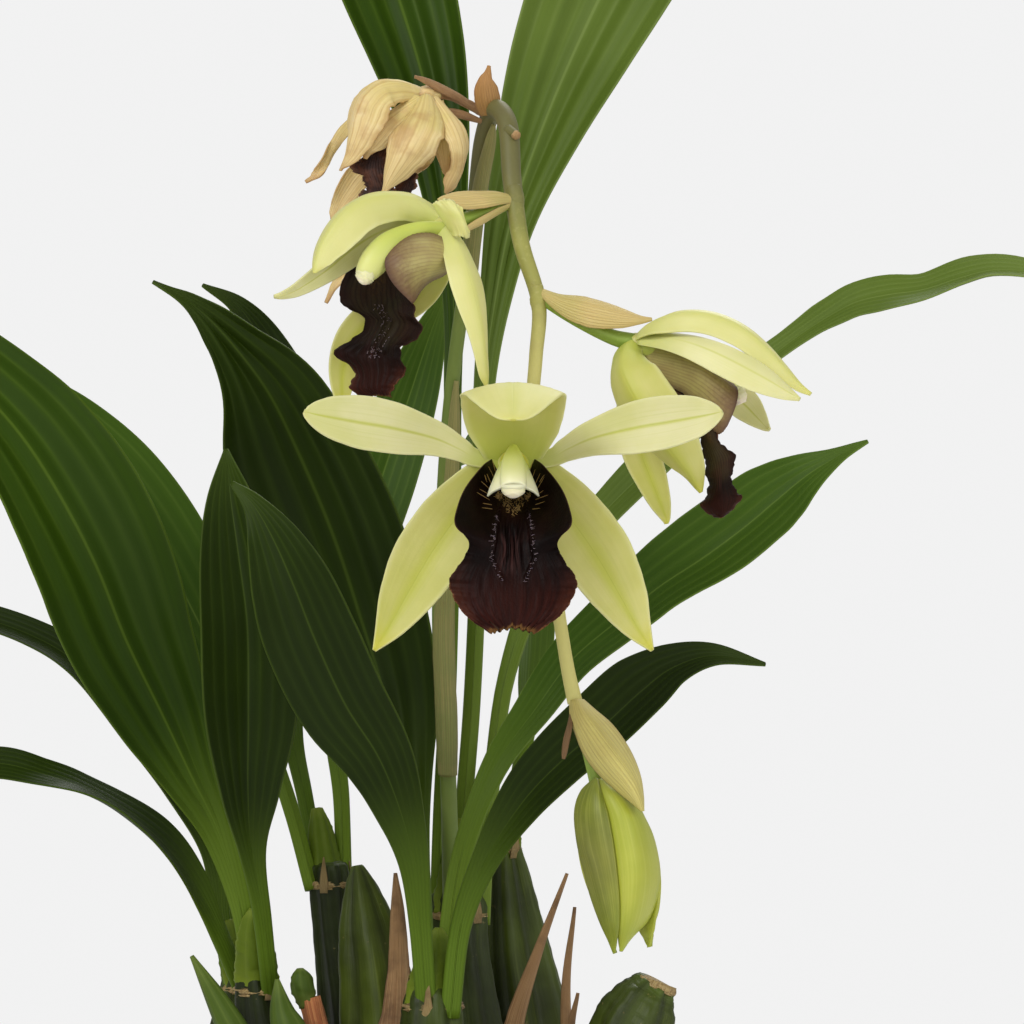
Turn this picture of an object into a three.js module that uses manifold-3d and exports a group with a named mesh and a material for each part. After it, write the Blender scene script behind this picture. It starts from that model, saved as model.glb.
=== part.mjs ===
// A potted coelogyne orchid: pseudobulbs on a rhizome, plicate leaves, and a
// hanging flower stem with three open flowers, one wilted flower and one bud.
// Millimetres, +Z up. The origin is the middle of the pot's underside and the
// open flower in the middle faces -Y.
import * as THREE from 'three';
import { mergeVertices } from 'three/addons/utils/BufferGeometryUtils.js';
import Module from 'manifold-3d';

const wasm = await Module();
wasm.setup();

// Driving dimensions
const GAP = 0.32;              // clearance between neighbouring solids
const POT_HEIGHT = 104;
const POT_RIM_RADIUS = 65;
const POT_RIM_BAND = 20;       // height of the thick band round the mouth
const POT_FOOT_RADIUS = 46;
const POT_WALL = 5;
const POT_FLOOR = 6;
const POT_HOLES = 5;            // drainage holes in a ring
const POT_HOLE_RADIUS = 4.5;
const POT_HOLE_RING = 27;      // how far the holes lie from the middle
const BARK_TOP = 96;           // level that the bulbs stand at
const BARK_CHIPS = 18;
const PETAL_THICK = 0.8;
const LEAF_THICK = 1.0;
const LIP_THICK = 0.7;
const DEGREE = Math.PI / 180;

const COLORS = {
  pot: 0xb0633f, bark: 0x6b4a30, rhizome: 0x6e5231, bulb: 0x33481f, leaf: 0x35561f, darkLeaf: 0x253f1a,
  tepal: 0xd3db95, lip: 0x35130f, column: 0xe6e2a0, stem: 0x8f9150, ovary: 0x7b9a3c, bract: 0xc6a468,
  bud: 0x9dae34, budBract: 0xb0ad5c, dry: 0xa9764a, wilted: 0xd8b470, wiltedLip: 0x3c1f12,
};

// ---------------------------------------------------------------- numbers and curves

function randomSource(seed) {
  let state = seed;
  return () => {
    state = (state * 1103515245 + 12345) % 2147483648;
    return state / 2147483648;
  };
}

const mix = (a, b, t) => a + (b - a) * t;
const clamp = (value, low, high) => Math.min(high, Math.max(low, value));

function smooth(low, high, value) {
  const t = clamp((value - low) / (high - low), 0, 1);
  return t * t * (3 - 2 * t);
}

// A row of numbers read at t (0 to 1) along a list of rows, on a Catmull-Rom curve.
function along(rows, t) {
  if (rows.length === 1) {
    return rows[0];
  }
  const place = clamp(t, 0, 1) * (rows.length - 1);
  const i = Math.min(Math.floor(place), rows.length - 2);
  const f = place - i;
  const b = rows[i];
  const c = rows[i + 1];
  const a = rows[i - 1] || b.map((value, k) => 2 * value - c[k]);
  const d = rows[i + 2] || c.map((value, k) => 2 * value - b[k]);
  return b.map((value, k) => 0.5 * (2 * value + (c[k] - a[k]) * f
    + (2 * a[k] - 5 * value + 4 * c[k] - d[k]) * f * f
    + (3 * value - a[k] - 3 * c[k] + d[k]) * f * f * f));
}

const vector = (row) => new THREE.Vector3(row[0], row[1], row[2]);

// Position, tangent, side and face direction at t along a spine.
function frameAt(spine, faces, t) {
  const step = 0.004;
  const point = vector(along(spine, t));
  const ahead = vector(along(spine, Math.min(1, t + step)));
  const tangent = ahead.sub(vector(along(spine, Math.max(0, t - step)))).normalize();
  const side = new THREE.Vector3().crossVectors(tangent, vector(along(faces, t))).normalize();
  const face = new THREE.Vector3().crossVectors(side, tangent).normalize();
  return { point, tangent, side, face };
}

// ---------------------------------------------------------------- closed meshes

function geometryOf(points, triangles) {
  const geometry = new THREE.BufferGeometry();
  const values = points.flatMap((p) => [p.x, p.y, p.z]);
  geometry.setAttribute('position', new THREE.Float32BufferAttribute(values, 3));
  geometry.setIndex(triangles);
  return geometry;
}

// A closed body from two facing grids of points: front and back, with a rim.
function plate(front, back) {
  const rows = front.length;
  const columns = front[0].length;
  const points = [...front.flat(), ...back.flat()];
  const triangles = [];
  const at = (side, j, i) => side * rows * columns + j * columns + i;
  for (let j = 0; j < rows - 1; j += 1) {
    for (let i = 0; i < columns - 1; i += 1) {
      const f = [at(0, j, i), at(0, j, i + 1), at(0, j + 1, i + 1), at(0, j + 1, i)];
      const b = [at(1, j, i), at(1, j, i + 1), at(1, j + 1, i + 1), at(1, j + 1, i)];
      triangles.push(f[0], f[1], f[2], f[0], f[2], f[3]);
      triangles.push(b[0], b[2], b[1], b[0], b[3], b[2]);
    }
  }
  const rim = [];
  for (let i = 0; i < columns - 1; i += 1) rim.push([0, i]);
  for (let j = 0; j < rows - 1; j += 1) rim.push([j, columns - 1]);
  for (let i = columns - 1; i > 0; i -= 1) rim.push([rows - 1, i]);
  for (let j = rows - 1; j > 0; j -= 1) rim.push([j, 0]);
  rim.forEach(([j, i], k) => {
    const [nextJ, nextI] = rim[(k + 1) % rim.length];
    triangles.push(at(0, j, i), at(1, j, i), at(0, nextJ, nextI));
    triangles.push(at(0, nextJ, nextI), at(1, j, i), at(1, nextJ, nextI));
  });
  return geometryOf(points, triangles);
}

// A closed body from rings of points, its ends closed on their middles.
function rings(list) {
  const count = list[0].length;
  const points = list.flat();
  const triangles = [];
  for (let j = 0; j < list.length - 1; j += 1) {
    for (let i = 0; i < count; i += 1) {
      const next = (i + 1) % count;
      const a = j * count + i;
      const b = j * count + next;
      triangles.push(a, b, b + count, a, b + count, a + count);
    }
  }
  [0, list.length - 1].forEach((j) => {
    const middle = list[j].reduce((sum, p) => sum.add(p), new THREE.Vector3()).divideScalar(count);
    points.push(middle);
    for (let i = 0; i < count; i += 1) {
      const a = j * count + i;
      const b = j * count + ((i + 1) % count);
      triangles.push(...(j === 0 ? [points.length - 1, b, a] : [points.length - 1, a, b]));
    }
  });
  return geometryOf(points, triangles);
}

function toSolid(source) {
  const geometry = source.clone();
  geometry.deleteAttribute('normal');
  geometry.deleteAttribute('uv');
  const merged = mergeVertices(geometry, 1e-4);
  const vertProperties = new Float32Array(merged.attributes.position.array);
  const triVerts = new Uint32Array(merged.index.array);
  const solid = new wasm.Manifold(new wasm.Mesh({ numProp: 3, vertProperties, triVerts }));
  if (solid.volume() > 0) {
    return solid;
  }
  return new wasm.Manifold(new wasm.Mesh({ numProp: 3, vertProperties, triVerts: triVerts.reverse() }));
}

const union = (solids) => solids.reduce((sum, solid) => sum.add(solid));

// The largest piece of a solid, without the scraps that a cut can leave.
function mainBody(solid) {
  return solid.decompose().sort((a, b) => b.volume() - a.volume())[0];
}

const cut = (solid, others) => mainBody(others.reduce((rest, other) => rest.subtract(other), solid));

// ---------------------------------------------------------------- generators

const STALK_ROWS = 3;   // rows of faces along a leaf's stalk; the others are in its blade

function stalkSteps(j, long, stalk) {
  return j <= STALK_ROWS ? (stalk * j) / STALK_ROWS : mix(stalk, 1, (j - STALK_ROWS) / (long - STALK_ROWS));
}

// A leaf, petal, sepal or bract. Its spine rows are [x, y, z, half width].
function blade({ spine, faces = [[0, -1, 0]], long = 8, wide = 4, thick = PETAL_THICK, rim = 0.62,
  fold = 0, cup = 0, pleat = 0, wave = [0, 1], stalk = 0, stalkThick = 2.6, tip = 1 }, grow = 0) {
  const surface = (t, u) => {
    const { point, side, face } = frameAt(spine, faces, t);
    const halfWidth = Math.max(0.3, along(spine, t)[3]) + grow;
    const opening = smooth(0.6 * stalk, 1.5 * stalk + 0.02, t);
    const bend = Math.max(1e-3, cup);
    const across = Math.sin(bend * Math.abs(u)) / bend;
    const lift = (1 - Math.cos(bend * Math.abs(u))) / bend;
    const angle = fold * DEGREE;
    const x = (across * Math.cos(angle) - lift * Math.sin(angle)) * Math.sign(u) * halfWidth;
    const wavy = wave[0] * u * u * Math.sin(2 * Math.PI * (wave[1] * t + 0.17 * Math.sign(u)));
    const pleated = pleat * Math.cos(4 * Math.PI * u) * (1 - 0.5 * Math.abs(u));
    const h = (across * Math.sin(angle) + lift * Math.cos(angle)) * halfWidth
      + (wavy + pleated * smooth(1, 6, halfWidth)) * opening * (1 - smooth(0.86, 1, t) * tip);
    return point.addScaledVector(side, x).addScaledVector(face, h);
  };
  const front = [];
  const back = [];
  for (let j = 0; j <= long; j += 1) {
    const t = stalk > 0 ? stalkSteps(j, long, stalk) : j / long;
    const frontRow = [];
    const backRow = [];
    const atStalk = 1 - smooth(0.5 * stalk, 1.3 * stalk + 0.01, t);
    for (let i = 0; i <= wide; i += 1) {
      const u = (2 * i) / wide - 1;
      const step = 0.01;
      const alongLeaf = surface(Math.min(1, t + step), u).sub(surface(Math.max(0, t - step), u));
      const acrossLeaf = surface(t, Math.min(1, u + step)).sub(surface(t, Math.max(-1, u - step)));
      const normal = new THREE.Vector3().crossVectors(acrossLeaf, alongLeaf).normalize();
      const leafThick = mix(thick, rim, u * u);
      const stalkSection = stalkThick * (1 - 0.6 * u * u);
      const half = 0.5 * (stalk > 0 ? mix(leafThick, stalkSection, atStalk) : leafThick) + grow;
      const point = surface(t, u);
      frontRow.push(point.clone().addScaledVector(normal, half));
      backRow.push(point.addScaledVector(normal, -half));
    }
    front.push(frontRow);
    back.push(backRow);
  }
  return toSolid(plate(front, back));
}

// A stem along rows of [x, y, z, radius], with an optional flattening.
function stem({ path, sides = 8, long = 12, flat = 1, ridges = 0, ridgeCount = 5,
  faces = [[0, -1, 0.01]] }, grow = 0) {
  const list = [];
  for (let j = 0; j <= long; j += 1) {
    const t = j / long;
    const { point, tangent, side, face } = frameAt(path, faces, t);
    const radius = Math.max(0.25, along(path, t)[3]) + grow;
    const end = j === 0 ? -grow : (j === long ? grow : 0);
    const ring = [];
    for (let i = 0; i < sides; i += 1) {
      const angle = (2 * Math.PI * i) / sides;
      const ridge = 1 - ridges * (0.5 + 0.5 * Math.cos(ridgeCount * angle));
      ring.push(point.clone().addScaledVector(tangent, end)
        .addScaledVector(side, radius * ridge * Math.cos(angle))
        .addScaledVector(face, radius * flat * ridge * Math.sin(angle)));
    }
    list.push(ring);
  }
  return toSolid(rings(list));
}

// A lip: every row gives half a cross-section as middle [y, z], corner and margin [x, y, z].
function lipSurface(rows, t, u) {
  const row = along(rows, t);
  const a = Math.abs(u);
  const side = Math.sign(u) || 1;
  const point = [0, 1, 2].map((k) => {
    const middle = k === 0 ? 0 : row[k - 1];
    const corner = row[2 + k];
    const margin = row[5 + k];
    return (1 - a) * (1 - a) * middle + 2 * a * (1 - a) * corner + a * a * margin;
  });
  return new THREE.Vector3(point[0] * side, point[1], point[2]);
}

const LIP_KEELS = [0, 0.4];   // where the keels run, as shares of the half width

function lip({ rows, long = 9, wide = 10 }, grow = 0) {
  const surface = (t, u) => lipSurface(rows, t, u);
  const front = [];
  const back = [];
  for (let j = 0; j <= long; j += 1) {
    const t = j / long;
    const frontRow = [];
    const backRow = [];
    for (let i = 0; i <= wide; i += 1) {
      const u = (2 * i) / wide - 1;
      const step = 0.02;
      const alongLip = surface(Math.min(1, t + step), u).sub(surface(Math.max(0, t - step), u));
      const acrossLip = surface(t, Math.min(1, u + step)).sub(surface(t, Math.max(-1, u - step)));
      const normal = new THREE.Vector3().crossVectors(acrossLip, alongLip).normalize();
      const isKeel = LIP_KEELS.some((keel) => Math.abs(Math.abs(u) - keel) < 0.5 / wide);
      const keelHeight = isKeel ? 0.8 * smooth(0.05, 0.2, t) * (1 - smooth(0.75, 0.95, t)) : 0;
      const point = surface(t, u);
      frontRow.push(point.clone().addScaledVector(normal, -LIP_THICK / 2 - grow - keelHeight));
      backRow.push(point.addScaledVector(normal, LIP_THICK / 2 + grow));
    }
    front.push(frontRow);
    back.push(backRow);
  }
  return toSolid(plate(front, back));
}

// ---------------------------------------------------------------- pot, bark and bulbs

function makePot() {
  const slope = (POT_RIM_RADIUS - 5 - POT_FOOT_RADIUS) / (POT_HEIGHT - POT_RIM_BAND);
  const bodyTop = POT_HEIGHT - POT_RIM_BAND;
  const wallAt = (z) => POT_FOOT_RADIUS + slope * z;
  const inner = POT_FLOOR + 2;
  const profile = [
    [0, 0], [POT_FOOT_RADIUS - 1.5, 0], [POT_FOOT_RADIUS, 1.5], [wallAt(bodyTop), bodyTop],
    [POT_RIM_RADIUS - 1, bodyTop + 1], [POT_RIM_RADIUS, bodyTop + 3], [POT_RIM_RADIUS, POT_HEIGHT - 2],
    [POT_RIM_RADIUS - 2, POT_HEIGHT], [POT_RIM_RADIUS - 6, POT_HEIGHT],
    [POT_RIM_RADIUS - 7.5, POT_HEIGHT - 2], [wallAt(bodyTop) - POT_WALL + 1, bodyTop],
    [wallAt(inner) - POT_WALL, inner], [POT_FOOT_RADIUS - 9, POT_FLOOR], [0, POT_FLOOR],
  ].map(([r, z]) => new THREE.Vector2(r, z));
  const holes = Array.from({ length: POT_HOLES }, (_, k) => {
    const angle = (2 * Math.PI * k) / POT_HOLES;
    const hole = new THREE.CylinderGeometry(POT_HOLE_RADIUS, POT_HOLE_RADIUS, 3 * POT_FLOOR, 10);
    hole.rotateX(Math.PI / 2);
    return toSolid(hole.translate(POT_HOLE_RING * Math.cos(angle), POT_HOLE_RING * Math.sin(angle), 0));
  });
  return cut(upright(new THREE.LatheGeometry(profile, 24)), holes);
}

// Lathes are made round Y; this stands one up along Z.
const upright = (lathe) => toSolid(lathe.rotateX(Math.PI / 2));

// Spine rows of each bulb: [x, y, z, radius].
const BULBS = {
  pseudobulb_front_left: [[-26, -9, 97, 6.6], [-26, -9, 108, 9], [-28, -10, 124, 7.2],
    [-30.5, -11, 137, 4.8], [-31, -11, 143, 4]],
  pseudobulb_left: [[-41, 8, 97, 6], [-40, 7, 107, 8.2], [-37, 4, 122, 6.6], [-35, 2, 134, 4.6],
    [-34, 1, 141, 3.8]],
  pseudobulb_slim: [[-11, 16, 98, 6.5], [-12, 16, 112, 8.8], [-15, 14, 132, 6.4], [-18, 13.5, 148, 4.2],
    [-19, 13.5, 159, 4]],
  pseudobulb_middle: [[-8, -5, 98, 6.2], [-8, -6, 112, 8.6], [-9, -6, 131, 7.4], [-11, -5, 147, 5],
    [-13, -4, 159, 2]],
  pseudobulb_front: [[2, -26, 97, 7], [2, -26, 107, 9.6], [1, -25, 121, 8.4], [1, -24, 133, 6.2],
    [1, -23, 140, 5.2]],
  pseudobulb_back: [[9, 2, 97, 6.6], [9, 2, 110, 8.6], [7, 4, 128, 7.4], [5.5, 6.5, 144, 5.8],
    [5, 8, 154, 5.6]],
  pseudobulb_large: [[23, 25, 97, 9], [22, 25, 110, 12.4], [18.5, 24, 130, 10.6], [15, 23, 150, 6.4],
    [13.5, 23, 166, 2.8]],
  pseudobulb_right: [[34, -16, 97, 8], [35, -17, 110, 11.4], [37, -19, 127, 9], [39.5, -20, 139, 5],
    [40.5, -20, 144, 3.4]],
};

const BULB_SHAPE = { sides: 12, long: 5, ridges: 0.13, ridgeCount: 6 };
const bulb = (name, grow = 0) => stem({ path: BULBS[name], ...BULB_SHAPE }, grow);

const RHIZOME_PATHS = [
  [[-43, 8, 94, 3.6], [-30, 0, 94.5, 4.2], [-17, -2, 94, 4.2], [-4, -8, 94.5, 4.2], [6, -18, 94, 4],
    [3, -31, 93, 3]],
  [[-12, 20, 93, 3], [-10, 8, 94, 4], [-6, -4, 94, 4.2]],
  [[0, -9, 94, 4.2], [12, 2, 94, 4.2], [24, 16, 94, 4.2], [23, 30, 93, 3]],
  [[11, 0, 94, 4], [24, -10, 94, 4.2], [38, -18, 93, 3]],
];
const ROOT_PATHS = [
  [[-34, 4, 95, 1.3], [-44, -4, 97.3, 1.2], [-50, -14, 96.5, 1.1], [-49, -25, 92, 0.9]],
  [[-12, -8, 95, 1.3], [-20, -20, 98, 1.2], [-24, -33, 97.3, 1.1], [-20, -44, 92, 0.9]],
  [[14, 2, 96, 1.3], [26, 2, 98, 1.2], [39, 5, 97.5, 1.1], [49, 3, 92, 0.9]],
  [[8, -22, 95, 1.2], [17, -33, 98, 1.2], [22, -42, 97, 1.1], [20, -50, 92, 0.9]],
  [[-10, 17, 95, 1.2], [-16, 30, 98, 1.2], [-14, 41, 97, 1.1], [-8, 50, 92, 0.9]],
];

const rhizome = (grow = 0) => union([
  ...RHIZOME_PATHS.map((path) => stem({ path, sides: 6, long: 4, faces: [[0, 0, 1]] }, grow)),
  ...ROOT_PATHS.map((path) => stem({ path, sides: 5, long: 4, faces: [[0, 0, 1]] }, grow)),
]);

// Chips of bark packed to the brim, laid on a spiral and sunk in one bed.
function makeBark() {
  const random = randomSource(11);
  const bedProfile = [[0, 9], [POT_FOOT_RADIUS - 10, 9], [51.5, BARK_TOP - 16], [53.5, BARK_TOP - 6],
    [50, BARK_TOP - 3], [0, BARK_TOP - 2]].map(([r, z]) => new THREE.Vector2(r, z));
  const chips = [upright(new THREE.LatheGeometry(bedProfile, 14))];
  for (let k = 0; k < BARK_CHIPS; k += 1) {
    const radius = 45 * Math.sqrt((k + 0.5) / BARK_CHIPS);
    const angle = k * 137.5 * DEGREE;
    const size = [mix(12, 19, random()), mix(8, 13, random()), mix(4.5, 7, random())];
    const chip = new THREE.BoxGeometry(...size);
    const corners = chip.attributes.position;
    const seen = new Map();
    for (let i = 0; i < corners.count; i += 1) {
      const corner = [corners.getX(i), corners.getY(i), corners.getZ(i)];
      const key = corner.join();
      if (!seen.has(key)) {
        seen.set(key, corner.map((value) => value * mix(0.7, 1.05, random())));
      }
      corners.setXYZ(i, ...seen.get(key));
    }
    chip.rotateX(mix(-0.35, 0.35, random()));
    chip.rotateY(mix(-0.35, 0.35, random()));
    chip.rotateZ(mix(0, Math.PI, random()));
    const level = BARK_TOP - 2.6 + mix(-0.8, 0.8, random());
    chip.translate(radius * Math.cos(angle), radius * Math.sin(angle), level);
    chips.push(toSolid(chip));
  }
  return union(chips);
}

// ---------------------------------------------------------------- leaves

// Every leaf rises from the top of one bulb. Spine rows: [x, y, z, half width].
const LEAVES = {
  leaf_left_broad: { from: 'pseudobulb_front_left', color: 'leaf', long: 13, wide: 6, fold: 12, cup: 0.3,
    pleat: 0.7, stalk: 0.22, wave: [1.2, 2],
    faces: [[-0.3, -0.95, 0.1], [0.1, -0.95, 0.25], [0.35, -0.85, 0.4], [0.4, -0.8, 0.5]],
    spine: [[-32, -12, 139, 2.4], [-33, -14, 153, 2.6], [-37, -18, 168, 4], [-42, -21, 179, 6.2],
      [-47, -24, 190, 9.2], [-53, -28, 203, 12], [-58, -31, 216, 13.4], [-64, -33, 228, 13.8],
      [-71, -34, 239, 13], [-80, -34, 249, 10.8], [-90, -32, 258.5, 7], [-102, -28, 267, 0.4]] },
  leaf_left_back: { from: 'pseudobulb_slim', color: 'leaf', long: 9, wide: 4, fold: 10, cup: 0.3, pleat: 0,
    stalk: 0.26, faces: [[0.3, -0.9, 0.3], [0.5, -0.7, 0.5]],
    spine: [[-22, 11.5, 156, 2], [-26, 15, 170, 2], [-30, 20, 180, 2.4], [-36, 25, 190, 4.8],
      [-43, 29, 202, 8], [-51, 31, 217, 10.2], [-60, 31, 231, 9.8], [-69, 30, 242, 7.2],
      [-78, 28, 250, 3.8], [-87, 25, 256, 0.4]] },
  leaf_left_low: { from: 'pseudobulb_left', color: 'darkLeaf', long: 8, wide: 4, fold: 16, cup: 0.2,
    stalk: 0.2,
    faces: [[0.3, -0.9, 0.3], [0.5, -0.65, 0.6]],
    spine: [[-36, 1, 138, 2.2], [-38.5, 2, 152, 2.4], [-40, 4, 164, 3.4], [-46, 7, 175, 4.6],
      [-55, 10, 186, 4.6], [-65, 13, 197, 4], [-75, 15, 203, 3.6], [-88, 16, 207, 3],
      [-100, 14, 208, 0.4]] },
  leaf_left_thin: { from: 'pseudobulb_left', color: 'darkLeaf', long: 7, wide: 4, fold: 12, cup: 0.2,
    stalk: 0.25,
    faces: [[0.3, -0.9, 0.3], [0.5, -0.65, 0.6]],
    spine: [[-33, 4, 138, 2], [-37, 9, 155, 2], [-43, 15, 171, 2.6], [-52, 21, 186, 3.6],
      [-62, 25, 196.5, 3.6], [-72, 27, 202, 2.6], [-82, 28, 206, 0.4]] },
  leaf_left_lowest: { from: 'pseudobulb_left', color: 'darkLeaf', long: 10, wide: 4, fold: 10, cup: 0.2,
    stalk: 0.18,
    faces: [[0.4, -0.85, 0.3], [0.6, -0.5, 0.6], [0.2, -0.3, 0.95], [-0.2, -0.8, 0.5], [0.1, -0.9, -0.3]],
    spine: [[-33.5, -1.6, 137, 2.2], [-38, -7, 149, 2.8], [-42.5, -11, 159, 4.6], [-48, -16, 167, 5.8],
      [-55, -20, 173, 5.6], [-61.5, -23, 177, 4.4], [-68, -25, 179.5, 3.4], [-75, -27, 181.5, 3.2],
      [-83, -29, 181.5, 2.6], [-92, -30, 178, 0.4]] },
  leaf_folded: { from: 'pseudobulb_front_left', color: 'darkLeaf', long: 10, wide: 4, fold: 26,
    cup: 0.25, stalk: 0.22,
    faces: [[0.35, -0.9, 0.1], [0.15, -0.98, 0.1], [-0.1, -1, 0]],
    spine: [[-28.5, -13, 139, 2.2], [-29.5, -22, 154, 2.4], [-31, -29, 167, 3.2], [-31, -34, 178, 5.6],
      [-30, -37, 191, 8.6], [-30, -38, 206, 8.8], [-32, -37, 218, 7.4], [-34, -35, 228, 4.6],
      [-35, -33, 237, 0.4]] },
  leaf_tall: { from: 'pseudobulb_front', color: 'darkLeaf', long: 14, wide: 6, fold: 12, cup: 0.3,
    pleat: 0.8,
    stalk: 0.2, wave: [1.5, 2.2], faces: [[0.1, -1, 0.1], [-0.1, -0.97, 0.2], [-0.3, -0.9, 0.25],
      [-0.2, -0.6, 0.7]],
    spine: [[-0.5, -21, 137, 2.4], [-1, -15, 151, 2.5], [-2.5, -7, 163, 3.6], [-5.2, 0, 177, 6.8],
      [-8.5, 5, 192, 11], [-13, 7, 206, 13.8], [-18.5, 5, 221, 14.6], [-25, 1, 235.5, 12.8],
      [-31.5, -5, 247.5, 8.6], [-37, -11, 256, 4], [-42, -16, 262.5, 1.8], [-49, -19, 267, 0.4]] },
  leaf_front: { from: 'pseudobulb_front', color: 'darkLeaf', long: 11, wide: 4, fold: 9, cup: 0.35,
    stalk: 0.24,
    wave: [0.8, 2], faces: [[0, -1, 0.15], [-0.2, -0.95, 0.1], [-0.2, -0.95, 0.25]],
    spine: [[0, -25.5, 137, 2.4], [-1, -31, 153, 2.6], [-2, -36.5, 165, 3.6], [-4.5, -41, 175, 5],
      [-8, -45, 184, 6.6], [-13.5, -48, 193, 8.4], [-18.5, -50, 204, 8.8], [-22, -51, 213, 7.6],
      [-25.5, -51, 221, 5], [-29, -50, 227, 2.2], [-33, -48, 231, 0.4]] },
  leaf_right_broad: { from: 'pseudobulb_front', color: 'leaf', long: 12, wide: 6, fold: 14, cup: 0.25,
    stalk: 0.24,
    wave: [0.8, 2], faces: [[0.1, -1, 0.1], [-0.3, -0.85, 0.3], [-0.3, -0.85, 0.45], [-0.3, -0.8, 0.5]],
    spine: [[3.5, -22, 137, 2.4], [4, -20, 152, 2.5], [6.5, -17, 166, 2.6], [12, -13, 180, 3.2],
      [19.5, -8, 190.5, 4.2], [26, -4, 199, 5.2], [34.5, 1, 206, 6.8], [42, 4, 212, 7.8],
      [50.5, 7, 217.5, 8.8], [58, 8, 223, 8.4], [64, 9, 228, 7.6], [69.5, 9, 232.5, 5],
      [75, 8, 236, 2.2], [80.5, 6, 239, 0.4]] },
  leaf_right_low: { from: 'pseudobulb_front', color: 'darkLeaf', long: 11, wide: 4, fold: 16, cup: 0.25,
    stalk: 0.24,
    faces: [[0.1, -1, 0.1], [-0.3, -0.85, 0.4], [-0.2, -0.85, 0.5]],
    spine: [[4, -26.5, 137, 2.4], [6, -29, 153, 2.5], [10.5, -32.5, 165, 3.4], [17, -37, 175.5, 5],
      [24, -40, 183, 6.2], [31, -42, 189, 7], [37.5, -43, 195, 6.8], [43, -42, 199, 4.6],
      [50, -41, 201, 2.4], [59, -37, 199.5, 0.4]] },
  leaf_right_far: { from: 'pseudobulb_back', color: 'leaf', long: 12, wide: 6, fold: 12, cup: 0.25,
    stalk: 0.28,
    wave: [0.9, 2.5], faces: [[0, -1, 0.1], [-0.3, -0.8, 0.5], [-0.4, -0.7, 0.6], [0, -0.6, 0.9]],
    spine: [[9.3, 6.5, 150, 2.2], [10, 8, 163, 2.1], [11.5, 12, 178, 2.1], [14, 18.5, 195, 2.2],
      [20, 25, 211, 3.2], [31, 30, 224, 4.4], [42, 33, 235, 5.4], [53, 36, 245, 5.8], [64, 38, 253, 5.8],
      [75, 39, 261, 5.6], [86, 39, 267, 5.4], [97, 38, 270, 5], [107, 36, 272, 4], [116, 33, 271, 2.6],
      [125, 29, 267, 0.4]] },
  leaf_top_left: { from: 'pseudobulb_back', color: 'leaf', long: 12, wide: 6, fold: 14, cup: 0.3,
    pleat: 0.8,
    stalk: 0.42, wave: [1, 2], faces: [[0, -1, 0.05], [0, -1, 0.05], [0.1, -1, 0], [0.25, -0.95, -0.1]],
    spine: [[1.4, 8, 150, 2.2], [2, 8.5, 170, 2.1], [3, 9, 190, 2.1], [3.6, 9.5, 210, 2.1],
      [4, 11, 230, 2.1], [4, 14, 249, 2.2], [4, 19, 267, 2.8], [2.5, 23, 284, 5], [0.5, 27, 298, 7.4],
      [-3, 31, 312, 10], [-8, 35, 328, 12.2], [-14, 38, 347, 13], [-21, 40, 366, 10.8],
      [-28, 40, 384, 6.4], [-34, 38, 399, 0.4]] },
  leaf_top_right: { from: 'pseudobulb_back', color: 'leaf', long: 12, wide: 6, fold: 12, cup: 0.3,
    pleat: 0.9,
    stalk: 0.4, wave: [1.2, 2], faces: [[0, -1, 0.05], [0, -1, 0.05], [-0.15, -1, 0.1], [-0.3, -0.9, 0.1]],
    spine: [[5, 12.2, 150, 2.2], [6, 14.5, 170, 2.1], [7.5, 16.5, 190, 2.1], [8.5, 18, 212, 2.1],
      [9, 21, 234, 2.2], [10, 25, 252, 2.8], [12, 29, 267, 4], [15, 33, 282, 6], [20, 37, 297, 9],
      [26.5, 41, 313, 12.2], [35, 45, 331, 15], [45, 48, 349, 15.4], [56, 50, 367, 12.6],
      [66, 50, 384, 7.4], [75, 48, 399, 0.4]] },
  leaf_far_left: { from: 'pseudobulb_slim', color: 'darkLeaf', long: 9, wide: 4, fold: 12, cup: 0.25,
    stalk: 0.24,
    faces: [[0, -1, 0.2], [0.2, -0.9, 0.3]],
    spine: [[-20.5, 17, 156, 2], [-24, 25, 172, 2], [-27, 34, 184, 2.8], [-29, 41, 200, 5.4],
      [-30, 47, 217, 8.4], [-30, 51, 234, 9.6], [-31, 53, 248, 7.8], [-34, 54, 259, 4.6],
      [-38.5, 52, 266, 2.2], [-45, 48, 270, 0.4]] },
  leaf_far_middle: { from: 'pseudobulb_slim', color: 'leaf', long: 8, wide: 4, fold: 12, cup: 0.25,
    stalk: 0.24,
    faces: [[0, -1, 0.2], [0, -1, 0.1]],
    spine: [[-16.2, 13.5, 156, 2], [-17, 21, 172, 2], [-18.5, 29, 184, 2.6], [-18, 36, 200, 4.8],
      [-15, 42, 217, 6.8], [-10, 45, 233, 7.2], [-5, 47, 248, 6], [-1, 47, 260, 3.6], [3, 45, 270, 0.4]] },
  leaf_rear: { from: 'pseudobulb_large', color: 'leaf', long: 10, wide: 4, fold: 12, cup: 0.3, stalk: 0.22,
    wave: [1, 2], faces: [[0.4, 0.8, 0.3], [0.3, 0.6, 0.6], [0.2, 0.2, 1]],
    spine: [[13.5, 23, 163, 2.3], [16, 30, 175, 2.3], [18, 40, 190, 3.4], [19, 52, 205, 6.4],
      [19, 65, 219, 9], [18, 79, 230, 9.8], [15, 93, 237, 8.6], [10, 107, 239, 5.6], [4, 120, 236, 0.4]] },
};

const leaf = (name, grow = 0) => blade({ thick: LEAF_THICK, ...LEAVES[name] }, grow);

// ---------------------------------------------------------------- flower stem

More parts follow.
